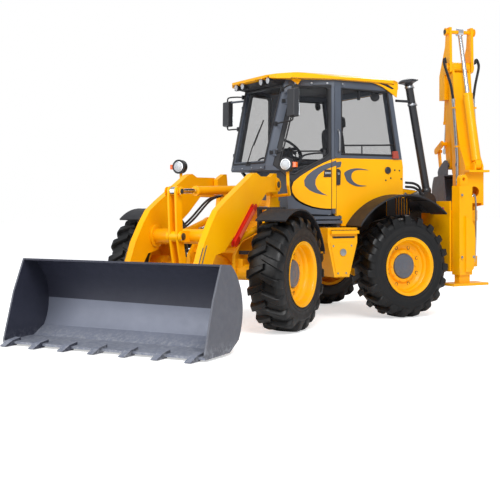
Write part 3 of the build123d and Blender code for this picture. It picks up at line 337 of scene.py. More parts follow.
class Shape:
    """One visible piece: simple forms gathered in a straight frame, then placed on a body."""

    def __init__(self, name, place, node, *materials, bevel=0.003):
        self.name, self.place, self.node, self.bevel = name, FRAMES[place], node, bevel
        self.materials, self.mesh, self.look = materials, bmesh.new(), 0

    def add(self, points, faces):
        made = [self.mesh.verts.new(p) for p in points]
        for face in faces:
            new = self.mesh.faces.new([made[i] for i in face])
            new.material_index = self.look

    def use(self, material):
        """What is added next has this one of the piece's finishes."""
        self.look = self.materials.index(material)

    def hull(self, lower, upper):
        """A closed body between two outlines of equally many points."""
        n = len(lower)
        self.add([*lower, *upper], [tuple(range(n))[::-1], tuple(range(n, 2 * n)),
                                    *((i, (i + 1) % n, n + (i + 1) % n, n + i) for i in range(n))])

    def box(self, x0, x1, y0, y1, z0, z1):
        y0, y1 = sorted((y0, y1))
        self.hull([(x0, y0, z0), (x1, y0, z0), (x1, y1, z0), (x0, y1, z0)],
                  [(x0, y0, z1), (x1, y0, z1), (x1, y1, z1), (x0, y1, z1)])

    def slab(self, outline, y0, y1):
        """An outline in the side view (x, z) given a thickness across the machine."""
        y0, y1 = sorted((y0, y1))
        if area(outline) > 0:
            outline = outline[::-1]
        self.hull([(x, y0, z) for x, z in outline], [(x, y1, z) for x, z in outline])

    def tube(self, points, radius, sides=12, smooth=0):
        """A round bar along a path; smooth adds that many steps of a curve between its points."""
        path = [Vector(p) for p in points]
        if smooth:
            path = curve(path, smooth)
        rings, up = [], None
        for i, p in enumerate(path):
            way = (path[min(i + 1, len(path) - 1)] - path[max(i - 1, 0)]).normalized()
            if up is None:
                up = way.orthogonal().normalized()
            side = way.cross(up).normalized()
            up = side.cross(way).normalized()
            bend = 1.0
            if 0 < i < len(path) - 1:
                a, b = (path[i] - path[i - 1]).normalized(), (path[i + 1] - path[i]).normalized()
                bend = 1 / max(0.6, sqrt(max(0.0, (1 + a.dot(b)) / 2)))
            rings.append([p + radius * bend * (cos(t) * up + sin(t) * side)
                          for t in full_turn(sides)])
        self.add([p for ring in rings for p in ring], capped(len(rings), sides))

    def turned(self, at, way, profile, sides=32):
        """A turned form: profile is a list of (radius, height along way); it closes at its ends."""
        way = Vector(way).normalized()
        a = way.orthogonal().normalized()
        b = way.cross(a)
        at = Vector(at)
        points = [at + way * h + max(r, 1e-4) * (cos(t) * a + sin(t) * b)
                  for r, h in profile for t in full_turn(sides)]
        self.add(points, capped(len(profile), sides))

    def bolt(self, at, way, size=0.013):
        """A washer and a six-sided head."""
        self.turned(at, way, ((size * 1.35, -0.001), (size * 1.35, size * 0.22)), 12)
        self.turned(at, way, ((size, size * 0.2), (size, size * 0.8), (size * 0.8, size * 0.95)), 6)

    def done(self, replaces=(), soft=35):
        """Makes the object; edges sharper than soft degrees stay sharp, and a bevel rounds them."""
        mesh = bpy.data.meshes.new(self.name)
        bmesh.ops.recalc_face_normals(self.mesh, faces=self.mesh.faces)
        self.mesh.to_mesh(mesh)
        self.mesh.free()
        mesh.transform(self.place)
        for material in self.materials:
            mesh.materials.append(material)
        mesh.shade_smooth()
        mesh.set_sharp_from_angle(angle=radians(soft))
        made = into_scene(self.name, mesh)
        if self.bevel:
            round_off = made.modifiers.new("edges", "BEVEL")
            round_off.width, round_off.segments, round_off.limit_method = self.bevel, 2, "ANGLE"
            round_off.angle_limit = radians(38)
            round_off.harden_normals = True
        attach(made, BODY[self.node])
        if replaces:
            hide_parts(*replaces)
        return made


def full_turn(steps):
    """Angles once round a circle."""
    return [2 * pi * k / steps for k in range(steps)]


def ring_faces(rows, around, joined=False):
    """Faces between rings of points; joined runs on from the last ring to the first."""
    return [(i * around + k, i * around + (k + 1) % around, (i + 1) % rows * around + (k + 1) % around,
             (i + 1) % rows * around + k) for i in range(rows if joined else rows - 1) for k in range(around)]


def capped(rows, around):
    """The same, closed by a face at each end."""
    return [*ring_faces(rows, around), tuple(range(around))[::-1],
            tuple(range((rows - 1) * around, rows * around))]


def both_sides(half):
    """An outline from its left half, given as points (x, y, z)."""
    return [*((x, -y, z) for x, y, z in half), *half[::-1]]


def area(outline):
    """Its sign tells which way round an outline runs."""
    return sum(a[0] * b[1] - b[0] * a[1] for a, b in zip(outline, outline[1:] + outline[:1])) / 2


def curve(path, steps):
    """A smooth run through every point of a path."""
    ends = [path[0] * 2 - path[1], *path, path[-1] * 2 - path[-2]]
    out = []
    for a, b, c, d in zip(ends, ends[1:], ends[2:], ends[3:]):
        for i in range(steps):
            t = i / steps
            out.append(0.5 * (2 * b + (c - a) * t + (2 * a - 5 * b + 4 * c - d) * t ** 2
                              + (3 * b - a - 3 * c + d) * t ** 3))
    return out + [path[-1]]


def arc(centre, radius, start, end, steps=10):
    """Points (x, z) along an arc, angles in degrees."""
    return [(centre[0] + radius * cos(radians(start + (end - start) * i / steps)),
             centre[1] + radius * sin(radians(start + (end - start) * i / steps)))
            for i in range(steps + 1)]


# --- wheels: turned walls, chevron lugs, dished rims ---
LUGS = 19    # on each side of the tread
# half the tyre's section, from bead to tread: radius, height across
WALL_LINE = ((0.353, 0.176), (0.362, 0.199), (0.382, 0.2065), (0.398, 0.2105), (0.405, 0.2065),
             (0.42, 0.2055), (0.428, 0.2085), (0.436, 0.2085), (0.443, 0.206), (0.468, 0.2095),
             (0.5, 0.2125), (0.512, 0.2145), (0.52, 0.2115), (0.54, 0.2075), (0.56, 0.201), (0.58, 0.19),
             (0.597, 0.172), (0.608, 0.148), (0.614, 0.115), (0.617, 0.06), (0.618, 0.0))
# along a lug, from the tread's middle: height across, lead in degrees, top radius, half width, root radius
LUG_LINE = ((-0.014, -1.3, 0.659, 0.029, 0.616), (0.03, 0.5, 0.6598, 0.0315, 0.616),
            (0.075, 2.3, 0.6595, 0.034, 0.615), (0.118, 4.0, 0.658, 0.0365, 0.612),
            (0.156, 5.4, 0.6545, 0.039, 0.603), (0.183, 6.4, 0.645, 0.041, 0.588),
            (0.201, 7.1, 0.623, 0.043, 0.566), (0.2085, 7.5, 0.596, 0.044, 0.552),
            (0.2135, 7.9, 0.566, 0.044, 0.538))


def tyre(node, wheel, hand):
    """Rounded walls and a flat tread, with slanting lugs that run down over the shoulders."""
    s = Shape(f"{node}_rubber", wheel, node, TYRE, bevel=0)
    around = 114
    line = [*WALL_LINE, *((r, -z) for r, z in WALL_LINE[-2::-1])]
    points = [(r * cos(t), r * sin(t), z) for r, z in line for t in full_turn(around)]
    s.add(points, ring_faces(len(line), around, joined=True))
    for side in (1, -1):
        for lug in range(LUGS):
            base = 2 * pi * (lug + (0 if side > 0 else 0.5)) / LUGS
            rows = []
            for z, lead, top, half, root in LUG_LINE:
                middle = base + hand * radians(lead)
                row = []
                for r, w in ((root, half + 0.009), (top - 0.006, half), (top, half - 0.006),
                             (top, 0.006 - half), (top - 0.006, -half), (root, -half - 0.009)):
                    t = middle + w / r
                    row.append((r * cos(t), r * sin(t), side * z))
                rows.append(row)
            flat = [p for row in rows for p in row]
            last = len(flat) - 6
            strips = [(r * 6 + k, r * 6 + k + 1, r * 6 + k + 7, r * 6 + k + 6)
                      for r in range(len(rows) - 1) for k in range(5)]
            s.add(flat, [*strips, (5, 4, 3, 2, 1, 0), tuple(range(last, last + 6))])
    s.done(replaces=(node,), soft=30)


AXLE = (0, 0, 1)
# a rim's section and its hub cap's: radius, distance out along the axle
RIM_LINE = ((0.062, -0.056), (0.158, -0.056), (0.3, 0.012), (0.326, 0.016), (0.328, -0.15),
            (0.338, -0.199), (0.366, -0.205), (0.3755, -0.2135), (0.3755, -0.206), (0.349, -0.184),
            (0.349, 0.184), (0.3755, 0.206), (0.3755, 0.2135), (0.366, 0.2135), (0.357, 0.204),
            (0.34, 0.199), (0.333, 0.186), (0.33, 0.15), (0.326, 0.12), (0.312, 0.108), (0.304, 0.094),
            (0.3, 0.07), (0.27, 0.048), (0.228, 0.044), (0.216, 0.052), (0.206, 0.07), (0.186, 0.076),
            (0.166, 0.076), (0.16, 0.06))
CAP_LINE = ((0.158, 0.04), (0.159, 0.083), (0.152, 0.091), (0.118, 0.0925), (0.112, 0.0895),
            (0.104, 0.0895), (0.098, 0.0925), (0.044, 0.0945), (0.04, 0.0925), (0.012, 0.093),
            (0.0, 0.0935))


def rim(node, wheel):
    """A dished disc with its flanges, round holes shown as dark plugs of painted shade, nuts, and a grey hub
    cap with its screws.
    """
    s = Shape(f"{node}_disc", wheel, node, YELLOW, CAP, DARK_PAINT, bevel=0.0015)
    s.turned((0, 0, 0), AXLE, RIM_LINE, 72)
    # the round holes are not cut: each is a dark plug, painted shade where the disc is open
    for i in range(8):
        t = radians(45 * i + 22.5)
        s.use(DARK_PAINT)
        s.turned((0.252 * cos(t), 0.252 * sin(t), 0.03), AXLE,
                 ((0.024, 0.0), (0.024, 0.0178), (0.018, 0.0182), (0.017, 0.01)), 20)
        s.use(YELLOW)
    for i in range(10):
        t = radians(36 * i)
        s.bolt((0.187 * cos(t), 0.187 * sin(t), 0.0755), AXLE, 0.0125)
    s.use(CAP)
    s.turned((0, 0, 0), AXLE, CAP_LINE, 56)
    for i in range(6):
        t = radians(60 * i + 15)
        s.bolt((0.136 * cos(t), 0.136 * sin(t), 0.0918), AXLE, 0.0048)
    s.use(DARK_PAINT)
    s.tube(((0.345, 0.02, 0.17), (0.338, 0.02, 0.205)), 0.005, 8)
    s.done(replaces=(node,), soft=28)


for end, side, hand in WHEELS:
    tyre(f"{end}_{side}_tyre", f"{end}_{side}_wheel", hand)
    rim(f"{end}_{side}_rim", f"{end}_{side}_wheel")

# --- cab: panels laid on its slanting walls ---
# the left wall's corners (x, y) at the belt and at the eaves: front post, door post, rear post
BELT_Z, EAVES_Z = 1.95, 3.03
SCREEN_LEAN, HINGE_LEAN = 0.2315, 0.238    # back, for each metre up
DOOR_POST_X = -0.6
SILL_PLAN = ((0.21, 0.465), (DOOR_POST_X, 0.8), (-1.68, 0.8))
EAVES_PLAN = ((-0.04, 0.53), (DOOR_POST_X, 0.795), (-1.505, 0.77))


def on_wall(x, z, out, hand=1):
    """The point of the cab's side wall at (x, z), moved out of the wall."""
    share = min(1.0, max(0.0, (z - BELT_Z) / (EAVES_Z - BELT_Z)))
    first = 0 if x > DOOR_POST_X else 1
    (ax, ay), (bx, by) = ([low + (high - low) * share for low, high in zip(SILL_PLAN[k], EAVES_PLAN[k])]
                          for k in (first, first + 1))
    y = ay + (by - ay) * (ax - x) / (ax - bx)
    run = hypot(ax - bx, by - ay)
    return Vector((x + out * (by - ay) / run, hand * (y + out * (ax - bx) / run), z))


def laid(s, outline, low, high, hand=1):
    """A thin plate on the side wall, between two distances out from it."""
    if area(outline) > 0:
        outline = outline[::-1]
    lower, upper = ([on_wall(x, z, out, hand) for x, z in outline] for out in (low, high))
    s.hull(lower, upper) if hand > 0 else s.hull(lower[::-1], upper[::-1])


def rounded(points, steps):
    """A closed outline made smooth."""
    path = [Vector((x, 0, z)) for x, z in points]
    closed = curve([path[-1], *path, path[0], path[1]], steps)
    return [(p.x, p.z) for p in closed[steps:-2 * steps]]


# the door's yellow lower panel, the stripe on it, and the edge of its pane
LOBE = [(-0.562, 1.401), (-0.5, 1.403), (-0.425, 1.411), (-0.345, 1.428), (-0.265, 1.458), (-0.19, 1.5),
        (-0.135, 1.552), (-0.102, 1.612), (-0.096, 1.672), (-0.118, 1.738), (-0.19, 1.806), (-0.285, 1.872),
        (-0.38, 1.93), (-0.47, 1.98), (-0.562, 2.022)]
SWEEP = [(-0.562, 1.988), (-0.5, 1.968), (-0.42, 1.932), (-0.34, 1.88), (-0.275, 1.82), (-0.24, 1.757),
         (-0.248, 1.69), (-0.3, 1.636), (-0.37, 1.6), (-0.44, 1.58), (-0.52, 1.566), (-0.452, 1.604),
         (-0.4, 1.648), (-0.374, 1.705), (-0.376, 1.768), (-0.41, 1.828), (-0.47, 1.88), (-0.562, 1.924)]
GLASS_EDGE = [(0.05, 1.935), (0.01, 2.1), (-0.06, 2.4), (-0.12, 2.66), (-0.176, 2.905), (-0.205, 2.936),
              (-0.5, 2.936), (-0.54, 2.905), (-0.54, 2.1), (-0.47, 2.032), (-0.36, 1.975), (-0.24, 1.905),
              (-0.13, 1.838), (-0.05, 1.85)]
for side, hand in SIDES:
    node = f"{side}_door"
    skin = Shape(f"{node}_lower_panel", "rear", node, YELLOW, GREY, BLACK, ZINC, bevel=0.0025)
    laid(skin, LOBE, 0.001, 0.013, hand)
    skin.use(GREY)
    laid(skin, SWEEP, 0.01, 0.0145, hand)
    skin.use(BLACK)
    # latch in a dark recess, and the inside handle bar across the glass
    laid(skin, [(-0.47, 1.8), (-0.558, 1.8), (-0.558, 1.895), (-0.48, 1.895)], 0.011, 0.02, hand)
    skin.use(ZINC)
    laid(skin, [(-0.484, 1.835), (-0.552, 1.84), (-0.552, 1.862), (-0.484, 1.866)], 0.02, 0.034, hand)
    skin.use(BLACK)
    laid(skin, [(-0.47, 2.075), (-0.5, 2.075), (-0.5, 2.15), (-0.47, 2.15)], -0.012, -0.008, hand)
    skin.tube([on_wall(-0.2, 2.0, -0.075, hand), on_wall(-0.26, 2.08, -0.085, hand),
               on_wall(-0.45, 2.11, -0.085, hand), on_wall(-0.5, 2.08, -0.06, hand)], 0.012, 10, 6)
    skin.done()
    # the rubber seal round the pane, standing a little proud of the frame
    seal = Shape(f"{node}_seal", "rear", node, BLACK, bevel=0)
    ring = [on_wall(x, z, 0.003, hand) for x, z in GLASS_EDGE]
    ring.append(ring[0])
    seal.tube(ring, 0.01, 8)
    for z in (2.11, 2.76):
        middle = on_wall(0.185 - (z - BELT_Z) * HINGE_LEAN, z, 0.014, hand)
        seal.box(middle.x - 0.03, middle.x + 0.014, middle.y - 0.008, middle.y + 0.008, z - 0.022, z + 0.022)
    seal.done()

for tag, hand in SIDES:
    body = Shape(f"cab_side_{tag}", "rear", "cab_frame", GREY, BLACK, ZINC, RED_LENS, bevel=0.003)
    # eaves rail with its bolts, the post's cover, the rear pane's frame and a round housing inside it
    laid(body, [(-0.075, 2.958), (-0.07, 3.014), (-0.76, 3.018), (-0.76, 2.948), (-0.56, 2.944)], 0.001,
         0.016, hand)
    laid(body, [(-0.6, 2.045), (-0.6, 2.955), (-0.688, 2.955), (-0.688, 2.045)], 0.001, 0.02, hand)
    body.use(ZINC)
    for x in (-0.15, -0.34, -0.52, -0.72):
        outwards = on_wall(x, 2.985, 1, hand) - on_wall(x, 2.985, 0, hand)
        body.bolt(on_wall(x, 2.985, 0.0155, hand), outwards, 0.01)
    body.use(BLACK)
    edge = [on_wall(x, z, -0.004, hand) for x, z in ((-0.705, 2.095), (-0.705, 2.925), (-1.44, 2.925),
                                                     (-1.572, 2.095))]
    body.tube([*edge, edge[0]], 0.014, 8)
    body.tube([on_wall(-0.705, 2.205, -0.022, hand), on_wall(-1.555, 2.235, -0.022, hand)], 0.011, 8)
    body.tube([on_wall(-1.04, 2.1, -0.022, hand), on_wall(-1.04, 2.215, -0.022, hand)], 0.009, 8)
    body.box(-1.02, -0.99, hand * 0.735, hand * 0.765, 2.8, 2.93)
    body.turned((-1.3, hand * 0.7, 2.86), (0.5, hand * 0.8, -0.1),
                ((0.045, -0.03), (0.06, 0.0), (0.056, 0.012)), 24)
    # grab handle beside the door
    body.use(ZINC)
    grip_line = ((2.12, 0.018), (2.135, 0.052), (2.22, 0.06), (2.35, 0.056), (2.4, 0.018))
    body.tube([on_wall(-0.644, z, out, hand) for z, out in grip_line], 0.01, 10, 5)
    body.use(RED_LENS)
    laid(body, [(-1.5, 2.055), (-1.5, 2.15), (-1.575, 2.155), (-1.592, 2.055)], 0.002, 0.034, hand)
    body.done()

    lower = Shape(f"cab_sill_{tag}", "rear", "cab_frame", GREY, BLACK, bevel=0.003)
    laid(lower, [(-0.07, 1.76), (-0.04, 1.56), (-0.06, 1.345), (-0.3, 1.325), (-0.566, 1.325),
                 (-0.566, 1.384), (-0.455, 1.388), (-0.34, 1.41), (-0.232, 1.45), (-0.146, 1.505),
                 (-0.089, 1.575), (-0.074, 1.66)], -0.03, -0.008, hand)
    lower.use(BLACK)
    laid(lower, [(-0.06, 1.35), (-0.066, 1.3), (-0.69, 1.3), (-0.69, 1.318), (-0.56, 1.322)], -0.012, 0.006,
         hand)
    lower.done()

    back = Shape(f"rear_panel_trim_{tag}", "rear", "side_panels", GREY, BLACK, ZINC, DARK_PAINT, bevel=0.0025)
    laid(back, [(-0.626, 1.99), (-0.7, 2.0), (-0.706, 1.985), (-0.69, 1.93), (-0.626, 1.918)], 0.001, 0.005,
         hand)
    back.use(DARK_PAINT)
    laid(back, [(-0.628, 1.7), (-0.682, 1.705), (-0.688, 1.88), (-0.66, 1.905), (-0.628, 1.905)], 0.001,
         0.016, hand)
    back.use(ZINC)
    back.turned(on_wall(-0.655, 1.845, 0.015, hand), (0, hand, 0),
                ((0.016, 0), (0.016, 0.006), (0.01, 0.008)), 20)
    back.use(GREY)
    laid(back, rounded([(-0.745, 1.845), (-0.8, 1.89), (-0.9, 1.915), (-1.02, 1.915), (-1.13, 1.895),
                        (-1.02, 1.9), (-0.92, 1.89), (-0.865, 1.85), (-0.86, 1.79), (-0.9, 1.74),
                        (-0.98, 1.705), (-1.1, 1.695), (-0.96, 1.685), (-0.85, 1.715), (-0.78, 1.765)], 3),
         0.001, 0.005, hand)
    back.use(DARK_PAINT)
    back.turned(on_wall(-1.43, 1.9, 0.001, hand), (0, hand, 0),
                ((0.046, 0), (0.046, 0.012), (0.034, 0.02), (0.012, 0.022)), 32)
    for x, z in ((-1.545, 1.905), (-1.62, 1.9), (-1.48, 1.8), (-1.4, 1.77), (-1.65, 1.79)):
        back.bolt(on_wall(x, z, 0.001, hand), (0, hand, 0), 0.009)
    # the seam where the front and rear parts of the panel meet, and a folded edge along the arch
    back.use(BLACK)
    laid(back, [(-0.622, 1.32), (-0.63, 1.32), (-0.63, 1.695), (-0.622, 1.695)], -0.001, 0.003, hand)
    back.use(DARK_PAINT)
    lip = [(x, hand * 0.806, z) for x, z in arc(HUBS["rear"], 0.912, 92, 48, 16)]
    back.tube(lip, 0.012, 8)
    back.done()

# --- cab front, roof, mirrors and what is inside ---
s = Shape("cab_front", "rear", "cab_frame", BLACK, GREY, ZINC, bevel=0.003)
corners = ((-0.425, 1.985), (-0.478, 2.962), (0.478, 2.962), (0.425, 1.985))
frame_line = [(0.209 - (z - BELT_Z) * SCREEN_LEAN, y, z) for y, z in corners]
s.tube([*frame_line, frame_line[0]], 0.013, 8)
# wiper: motor box, arm and blade
s.box(0.172, 0.214, -0.06, 0.06, 1.955, 2.005)
s.tube(((0.222, 0.0, 1.98), (0.205, 0.1, 2.18), (0.155, 0.215, 2.42)), 0.007, 8)
s.tube(((0.2, 0.14, 2.215), (0.137, 0.285, 2.53)), 0.009, 6)
# dark housing under the visor, and the flap over the nose
s.hull(both_sides([(-0.028, 0.5, 2.972), (0.09, 0.47, 2.984)]),
       both_sides([(-0.028, 0.56, 3.029), (0.15, 0.5, 3.029)]))
s.use(GREY)
s.hull(both_sides([(0.222, 0.44, 1.9), (0.232, 0.44, 1.9)]),
       both_sides([(0.212, 0.446, 1.945), (0.222, 0.446, 1.945)]))
s.use(ZINC)
for y in (-0.38, -0.13, 0.13, 0.38):
    s.bolt((0.2275, y, 1.922), (1, 0, 0.2), 0.008)
s.done()

s = Shape("roof_edges", "rear", "cab_roof", YELLOW, BLACK, ZINC, bevel=0.006)
s.box(0.148, 0.2005, -0.468, 0.468, 3.052, 3.0835)
s.use(BLACK)
# rubber drip rail along each side, and the headlining inside
for hand in (1, -1):
    s.tube([(0.03, hand * 0.64, 3.036), (-0.04, hand * 0.684, 3.036), (-0.6, hand * 0.836, 3.036),
            (-1.48, hand * 0.82, 3.036), (-1.52, hand * 0.812, 3.03)], 0.007, 8)
s.hull(both_sides([(-1.44, 0.712, 2.996), (-0.6, 0.735, 2.996), (-0.11, 0.48, 2.996)]),
       both_sides([(-1.44, 0.712, 3.028), (-0.6, 0.735, 3.028), (-0.11, 0.48, 3.028)]))
s.use(ZINC)
for x in (-1.3, -0.2):
    for hand in (1, -1):
        s.bolt((x, hand * 0.48, 3.0905 if x < -1 else 3.102), (0, 0, 1), 0.012)
s.done()

s = Shape("work_lamp_lenses", "rear", "roof_lamps", BLACK, LENS, CHROME, bevel=0.001)
for y in (-0.43, -0.25, 0.25, 0.43):
    s.use(BLACK)
    s.turned((0.149, y, 3.02), (1, 0, -0.1), ((0.05, 0), (0.05, 0.01), (0.043, 0.012)), 28)
    s.use(CHROME)
    s.turned((0.158, y, 3.0195), (1, 0, -0.1), ((0.043, 0), (0.043, 0.004), (0.038, 0.005)), 28)
    s.use(LENS)
    s.turned((0.16, y, 3.019), (1, 0, -0.1), ((0.038, 0), (0.036, 0.006), (0.02, 0.01), (0.0, 0.011)), 28)
for y in (-0.56, 0.56):
    s.use(CHROME)
    s.turned((-1.714, y, 3.02), (-1, 0, -0.1), ((0.036, 0), (0.036, 0.006), (0.032, 0.007)), 24)
    s.use(LENS)
    s.turned((-1.719, y, 3.0195), (-1, 0, -0.1), ((0.032, 0), (0.03, 0.005), (0.0, 0.009)), 24)
s.done()

for side, hand in SIDES:
    s = Shape(f"mirror_{side}", "rear", "cab_frame", DARK_PAINT, bevel=0.014)
    y0, y1 = sorted((hand * 0.786, hand * 0.974))
    s.hull([(0.02, y0, 2.525), (0.1, y0 + 0.012, 2.54), (0.1, y1 - 0.012, 2.54), (0.02, y1, 2.525)],
           [(0.02, y0, 2.885), (0.096, y0 + 0.012, 2.87), (0.096, y1 - 0.012, 2.87), (0.02, y1, 2.885)])
    s.done()
    s = Shape(f"mirror_trim_{side}", "rear", "cab_frame", BLACK, MIRROR, bevel=0.002)
    s.use(MIRROR)
    s.box(0.0165, 0.0205, y0 + 0.012, y1 - 0.012, 2.545, 2.865)
    s.use(BLACK)
    s.tube([on_wall(0.0, 2.905, -0.01, hand), (0.035, hand * 0.7, 2.925), (0.055, hand * 0.86, 2.925),
            (0.06, hand * 0.88, 2.87)], 0.01, 10, 6)
    s.tube([(0.06, hand * 0.88, 2.545), (0.06, hand * 0.86, 2.49), (0.075, hand * 0.7, 2.48),
            on_wall(0.085, 2.47, -0.01, hand)], 0.01, 10, 6)
    for z, x in ((2.905, 0.0), (2.47, 0.085)):
        middle = on_wall(x, z, 0.004, hand)
        s.box(middle.x - 0.022, middle.x + 0.018, middle.y - 0.016, middle.y + 0.016, z - 0.028, z + 0.028)
    s.done()


def squared(wave, power):
    """A sine or cosine pushed out towards the corners."""
    return copysign(abs(wave) ** power, wave)


def pad(name, centre, size, lean, crown):
    """A stuffed pad with a crowned face, pulled-in seams and piping round its edge."""
    s = Shape(name, "rear", "seat", FABRIC, BLACK, bevel=0)
    a, b, c = (v / 2 for v in size)
    turn = Matrix.Translation(centre) @ Matrix.Rotation(radians(lean), 4, "Y")
    rows, around = 20, 40

    def point(i, k):
        up = -pi / 2 + pi * i / rows
        t = 2 * pi * k / around
        ring = squared(cos(up), 0.35)
        x = a * ring * squared(cos(t), 0.35)
        y = b * ring * squared(sin(t), 0.35)
        z = c * squared(sin(up), 0.6)
        if z > 0:
            z += crown * (1 - (x / a) ** 2) * (1 - (y / b) ** 2)
            for seam in (-0.36, 0.36):
                z -= 0.01 * exp(-((y / b - seam) / 0.05) ** 2)
            z -= 0.006 * exp(-((x / a - 0.1) / 0.05) ** 2)
        return turn @ Vector((x, y, z))

    points = [point(i, k) for i in range(rows + 1) for k in range(around)]
    s.add(points, capped(rows + 1, around))
    s.use(BLACK)
    s.tube([*(point(rows // 2, k) for k in range(around)), point(rows // 2, 0)], 0.006, 6)
    made = s.done(replaces=("seat",), soft=60)


pad("seat_cushion", (-0.865, 0, 1.905), (0.5, 0.49, 0.13), 0, 0.03)
pad("seat_backrest", (-1.118, 0, 2.2), (0.59, 0.455, 0.11), 97, 0.025)
pad("seat_headrest", (-1.196, 0, 2.57), (0.15, 0.26, 0.09), 97, 0.012)

# armrest boxes with their levers, and the seat's pedestal, pan and back frame
s = Shape("cab_controls", "rear", "seat", BLACK, DARK_PAINT, bevel=0.006)
for hand in (1, -1):
    s.use(DARK_PAINT)
    s.box(-1.08, -0.64, hand * 0.3, hand * 0.4, 1.402, 1.96)
    s.use(BLACK)
    s.box(-1.09, -0.7, hand * 0.29, hand * 0.41, 1.955, 2.02)
    for x in (-0.74, -0.82):
        y = hand * 0.345
        s.tube(((x, hand * 0.35, 2.01), (x + 0.015, y, 2.11), (x + 0.03, y, 2.15)), 0.007, 8)
        knob = ((0.01, 0), (0.024, 0.014), (0.026, 0.034), (0.014, 0.052))
        s.turned((x + 0.03, y, 2.14), (0.2, 0, 1), knob, 16)
s.use(DARK_PAINT)
s.box(-1.04, -0.72, -0.15, 0.15, 1.402, 1.44)
s.hull(both_sides([(-1.0, 0.12, 1.44), (-0.76, 0.12, 1.44)]),
       both_sides([(-1.04, 0.15, 1.8), (-0.72, 0.15, 1.8)]))
s.box(-1.09, -0.64, -0.21, 0.21, 1.8, 1.842)
for y in (-0.08, 0.08):
    s.tube(((-1.08, y, 1.82), (-1.125, y, 1.9), (-1.205, y, 2.48), (-1.222, y, 2.56)), 0.012, 8, 4)
s.done(replaces=("seat",))

# dials, and the padded ring of the steering wheel
s = Shape("dash", "rear", "steering_console", BLACK, ZINC, LENS, bevel=0.004)
s.box(-0.345, -0.225, -0.21, 0.21, 2.06, 2.15)
for y in (-0.12, 0.0, 0.12):
    s.use(ZINC)
    s.turned((-0.346, y, 2.108), (-1, 0, 0.15), ((0.034, 0), (0.034, 0.005), (0.03, 0.006)), 20)
    s.use(LENS)
    s.turned((-0.35, y, 2.1085), (-1, 0, 0.15), ((0.029, 0), (0.029, 0.003), (0.0, 0.0035)), 20)
s.use(BLACK)
column, grip = Vector((-0.42, 0, 2.18)), Vector((-90, 0, 100)).normalized()
side_a = grip.orthogonal().normalized()
side_b = grip.cross(side_a)
rim_line = [column + grip * 0.012 + 0.178 * (cos(t) * side_a + sin(t) * side_b)
            for t in full_turn(40)]
s.tube([*rim_line, rim_line[0]], 0.0165, 10)
s.done()

# --- sill step, tanks, mudguards, hood and exhaust ---
for tag, hand in SIDES:
    s = Shape(f"steps_{tag}", "rear", "step_tanks", GREY, YELLOW, BLACK, ZINC, bevel=0.004)
    for low, out in ((1.268, 0.832), (1.214, 0.848)):
        s.box(-0.69, -0.23, hand * 0.7, hand * out, low, low + 0.038)
    s.box(-0.68, -0.64, hand * 0.7, hand * 0.8, 1.13, 1.3)
    s.box(-0.29, -0.25, hand * 0.7, hand * 0.8, 1.166, 1.3)
    s.use(BLACK)
    s.box(-0.77, -0.44, hand * 1.0, hand * 1.003, 1.035, 1.058)
    for i in range(7):
        s.box(-0.77 + 0.054 * i, -0.74 + 0.054 * i, hand * 1.006, hand * 1.042, 1.129, 1.137)
    s.use(YELLOW)
    s.slab([(-0.5, 0.56), (-0.66, 0.56), (-0.77, 0.975), (-0.41, 0.975)], hand * 1.0, hand * 1.007)
    s.use(ZINC)
    s.turned((-0.59, hand * 1.006, 0.86), (0, hand, 0), ((0.045, 0), (0.045, 0.014), (0.03, 0.018)), 24)
    for x, z in ((-0.64, 0.6), (-0.52, 0.6), (-0.72, 0.94), (-0.45, 0.94)):
        s.bolt((x, hand * 1.0065, z), (0, hand, 0), 0.01)
    s.done()

    s = Shape(f"mudguard_edges_{tag}", "rear", "rear_mudguards", BLACK, RED_LENS, AMBER, bevel=0.003)
    for y in (0.812, 1.112):
        s.tube([(x, hand * y, z) for x, z in arc(HUBS["rear"], 0.917, 133, 38, 30)], 0.011, 8)
    # pressed ribs under it
    for turn in (60, 85, 110):
        s.slab([*arc(HUBS["rear"], 0.9035, turn, turn + 3, 1),
                *arc(HUBS["rear"], 0.896, turn + 3, turn, 1)], hand * 0.815, hand * 1.105)
    # tail lamp and indicator
    s.use(RED_LENS)
    x, z = arc(HUBS["rear"], 0.925, 131, 131, 1)[0]
    s.box(x - 0.02, x + 0.012, hand * 0.9, hand * 1.06, z - 0.02, z + 0.06)
    s.use(AMBER)
    s.box(x - 0.02, x + 0.012, hand * 0.86, hand * 0.898, z - 0.02, z + 0.06)
    s.done()

    s = Shape(f"front_fender_edges_{tag}", "front", "front_fenders", BLACK, ZINC, bevel=0.003)
    for y in (0.752, 1.098):
        s.tube([(x, hand * y, z) for x, z in arc(HUBS["front"], 0.737, 57, 164, 30)], 0.01, 8)
    s.use(ZINC)
    for x in (1.19, 1.24):
        for y in (0.6, 0.66):
            s.bolt((x, hand * y, 1.4248), (0, 0, 1), 0.009)
    s.done()

s = Shape("exhaust_trim", "rear", "exhaust_stack", ZINC, DARK_PAINT, BLACK, bevel=0.002)
foot, top = Vector((-2.15, 0.7, 1.64)), Vector((-1.85, 0.7, 3.06))
lean = (top - foot).normalized()
for share in (0.805, 0.968):
    # a band clamp and its screw lug
    at = foot.lerp(top, share)
    s.turned(at, lean, ((0.06, -0.004), (0.0605, 0.02), (0.058, 0.024)), 32)
    s.box(at.x - 0.08, at.x - 0.056, 0.69, 0.71, at.z - 0.004, at.z + 0.014)
s.use(DARK_PAINT)
s.turned(top, lean, ((0.058, -0.01), (0.064, 0.006), (0.1, 0.02), (0.1325, 0.028), (0.134, 0.036),
                     (0.1325, 0.044), (0.118, 0.058), (0.086, 0.07), (0.052, 0.0775), (0.0, 0.0785)), 40)
s.tube(((-2.151, 0.7, 1.66), (-2.15, 0.7, 1.6), (-2.128, 0.692, 1.56), (-2.115, 0.68, 1.5)), 0.0625, 20, 5)
